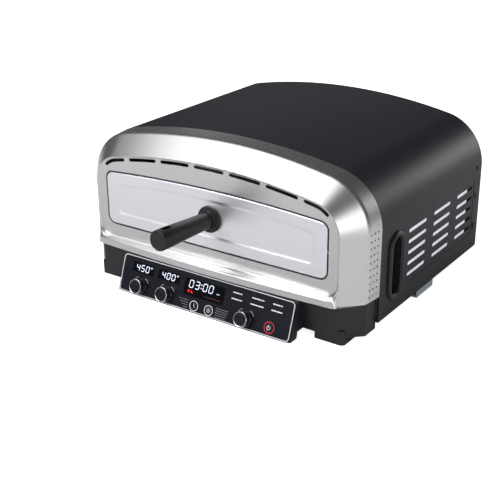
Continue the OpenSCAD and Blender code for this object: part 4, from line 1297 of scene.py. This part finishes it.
    def build(self) -> None:
        """Make the panel's visible pieces and dress the rest."""
        dress(GLOSS_ABS, "control_panel")
        dress(MOULDED_ABS, "control_housing", "display_modules", "tact_switches")
        dress(SILVER_FOIL, "panel_trim")
        dress(SMOKED_ACRYLIC, "display_windows")
        dress(LAMINATE, "control_board", "power_board")
        dress(ZINC_PLATE, "encoders")
        self.displays()
        self.marks()
        self.icons()
        self.build_knobs()
        self.build_buttons()


class Body:
    """The casing, base and inner parts, which keep their solids' own meshes."""

    def build(self) -> None:
        """Dress every remaining solid."""
        dress(POWDER_COAT, "casing_shell", "rear_panel", "rear_screws")
        dress(MOULDED_ABS, "base_plinth", "cord_gland", "gland_nut")
        dress(RUBBER, "front_pads", "rear_feet")
        dress(GALVANISED_SHEET, "side_legs")
        dress(BRIGHT_LINER, "shield_left", "shield_right")
        dress(GALVANISED_SHEET, "chamber_rails", "upper_straps", "lower_straps")
        dress(PAN_STEEL, "bottom_pan")
        dress(
            ALUMINISED_SHEET, "mouth_frame", "chamber_floor", "chamber_roof", "chamber_left",
            "chamber_right", "chamber_front", "chamber_back", "stone_ledges",
        )
        dress(CORDIERITE, "pizza_stone")
        dress(HEATED_SHEATH, "upper_element", "lower_element")
        dress(CERAMIC_WOOL, "wool_over", "wool_left", "wool_right", "wool_rear", "wool_under")
        dress(ZINC_PLATE, "probe_upper", "probe_lower")
        dress(POLYAMIDE, "terminal_block")


@dataclass
class Studio:
    """Camera, floor, lamps and world."""

    eye: Triple = (782.7, -1017.9, 643.6)
    yaw: float = 0.6115081
    pitch: float = 0.4061676
    roll: float = -0.0086340
    focal_px: float = 986.463
    frame_px: float = 500.0
    sensor: float = 36.0
    paper_lift: float = 0.85
    sky_diffuse: float = 0.2
    sky_mirrored: float = 0.08

    def camera(self) -> None:
        """Place the camera where the photograph was taken from."""
        data = bpy.data.cameras.new("studio_camera")
        data.sensor_width = self.sensor
        data.lens = self.focal_px * self.sensor / self.frame_px
        data.clip_end = 50.0
        obj = add_object("studio_camera", data)
        ahead = Vector((
            -math.sin(self.yaw) * math.cos(self.pitch),
            math.cos(self.yaw) * math.cos(self.pitch),
            -math.sin(self.pitch),
        ))
        right = Vector((math.cos(self.yaw), math.sin(self.yaw), 0))
        up = right.cross(ahead)
        tipped = right * math.cos(self.roll) + up * math.sin(self.roll)
        level = up * math.cos(self.roll) - right * math.sin(self.roll)
        turn = Matrix((tipped, level, -ahead)).transposed().to_4x4()
        obj.matrix_world = Matrix.Translation(point(*self.eye)) @ turn
        bpy.context.scene.camera = obj

    def lamp(self, name: str, where: Triple, aim: Triple, size: Pair, watts: float) -> None:
        """Add a soft rectangular lamp.

        Args:
            name: the lamp's name.
            where: its place in metres.
            aim: the point in metres that it faces.
            size: its width and height in metres.
            watts: its power.
        """
        data = bpy.data.lights.new(name, "AREA")
        data.shape = "RECTANGLE"
        data.size, data.size_y = size
        data.energy = watts
        obj = add_object(name, data)
        turn = (Vector(aim) - Vector(where)).to_track_quat("-Z", "Y").to_matrix().to_4x4()
        obj.matrix_world = Matrix.Translation(where) @ turn

    def floor(self) -> None:
        """Lay a pale floor that keeps the shadow; only the camera sees it lifted to white."""
        verts = [Vector((x, y, 0)) for x, y in ((-9, -9), (9, -9), (9, 9), (-9, 9))]
        obj = mesh_object("studio_floor", verts, [[0, 1, 2, 3]])
        made = bpy.data.materials.new("studio_paper")
        made.use_nodes = True
        tree = made.node_tree
        tree.nodes.clear()
        shader = add_node(
            tree, "ShaderNodeBsdfDiffuse", {"Color": linear("#f2f2f2"), "Roughness": 0.6}
        )
        path = add_node(tree, "ShaderNodeLightPath")
        lift = add_node(
            tree, "ShaderNodeMapRange", {"To Min": 0.0, "To Max": self.paper_lift},
            {"Value": path.outputs["Is Camera Ray"]},
        )
        glow = add_node(
            tree, "ShaderNodeEmission", {"Color": (1, 1, 1, 1)},
            {"Strength": lift.outputs["Result"]},
        )
        both = add_node(
            tree, "ShaderNodeAddShader", links={0: shader.outputs["BSDF"], 1: glow.outputs[0]}
        )
        add_node(tree, "ShaderNodeOutputMaterial", links={"Surface": both.outputs[0]})
        obj.data.materials.append(made)

    def world(self) -> None:
        """A surround that is white to the camera only and dim to every other ray."""
        world = bpy.data.worlds.new("studio_world")
        bpy.context.scene.world = world
        world.use_nodes = True
        tree = world.node_tree
        tree.nodes.clear()
        path = add_node(tree, "ShaderNodeLightPath")
        mirrored = add_node(
            tree, "ShaderNodeMapRange",
            {"To Min": self.sky_diffuse, "To Max": self.sky_mirrored},
            {"Value": path.outputs["Is Glossy Ray"]},
        )
        level = add_node(
            tree, "ShaderNodeMath", {"operation": "MAXIMUM"},
            {0: mirrored.outputs["Result"], 1: path.outputs["Is Camera Ray"]},
        )
        sky = add_node(
            tree, "ShaderNodeBackground", {"Color": (1, 1, 1, 1)},
            {"Strength": level.outputs[0]},
        )
        add_node(tree, "ShaderNodeOutputWorld", links={"Surface": sky.outputs["Background"]})

    def build(self) -> None:
        """Set the whole studio up."""
        self.camera()
        self.floor()
        self.world()
        self.lamp("shoulder_softbox", (1.05, 1.9, 0.55), (0.2, 0.1, 0.2), (0.6, 0.6), 9)
        self.lamp("top_softbox", (-0.65, -0.75, 2.0), (0.0, -0.1, 0.1), (2.2, 1.5), 24)
        self.lamp("front_softbox", (-0.8, -1.9, 1.3), (-0.15, -0.5, 0.0), (1.2, 1.0), 34)
        self.lamp("rear_softbox", (-1.0, 1.85, 0.9), (-0.1, 0.0, 0.2), (1.4, 0.4), 0.8)
        self.lamp("side_softbox", (1.9, -1.3, 0.6), (0.25, -0.1, 0.05), (1.4, 1.2), 13)
        bpy.context.scene.view_settings.view_transform = "Standard"


def main() -> None:
    """Build the scene in order."""
    logging.basicConfig(level=logging.INFO)
    Studio().build()
    arch = Arch()
    Bezel(arch).build()
    Door(arch).build()
    Grips().build()
    Panel().build()
    Body().build()


if __name__ == "__main__":
    main()
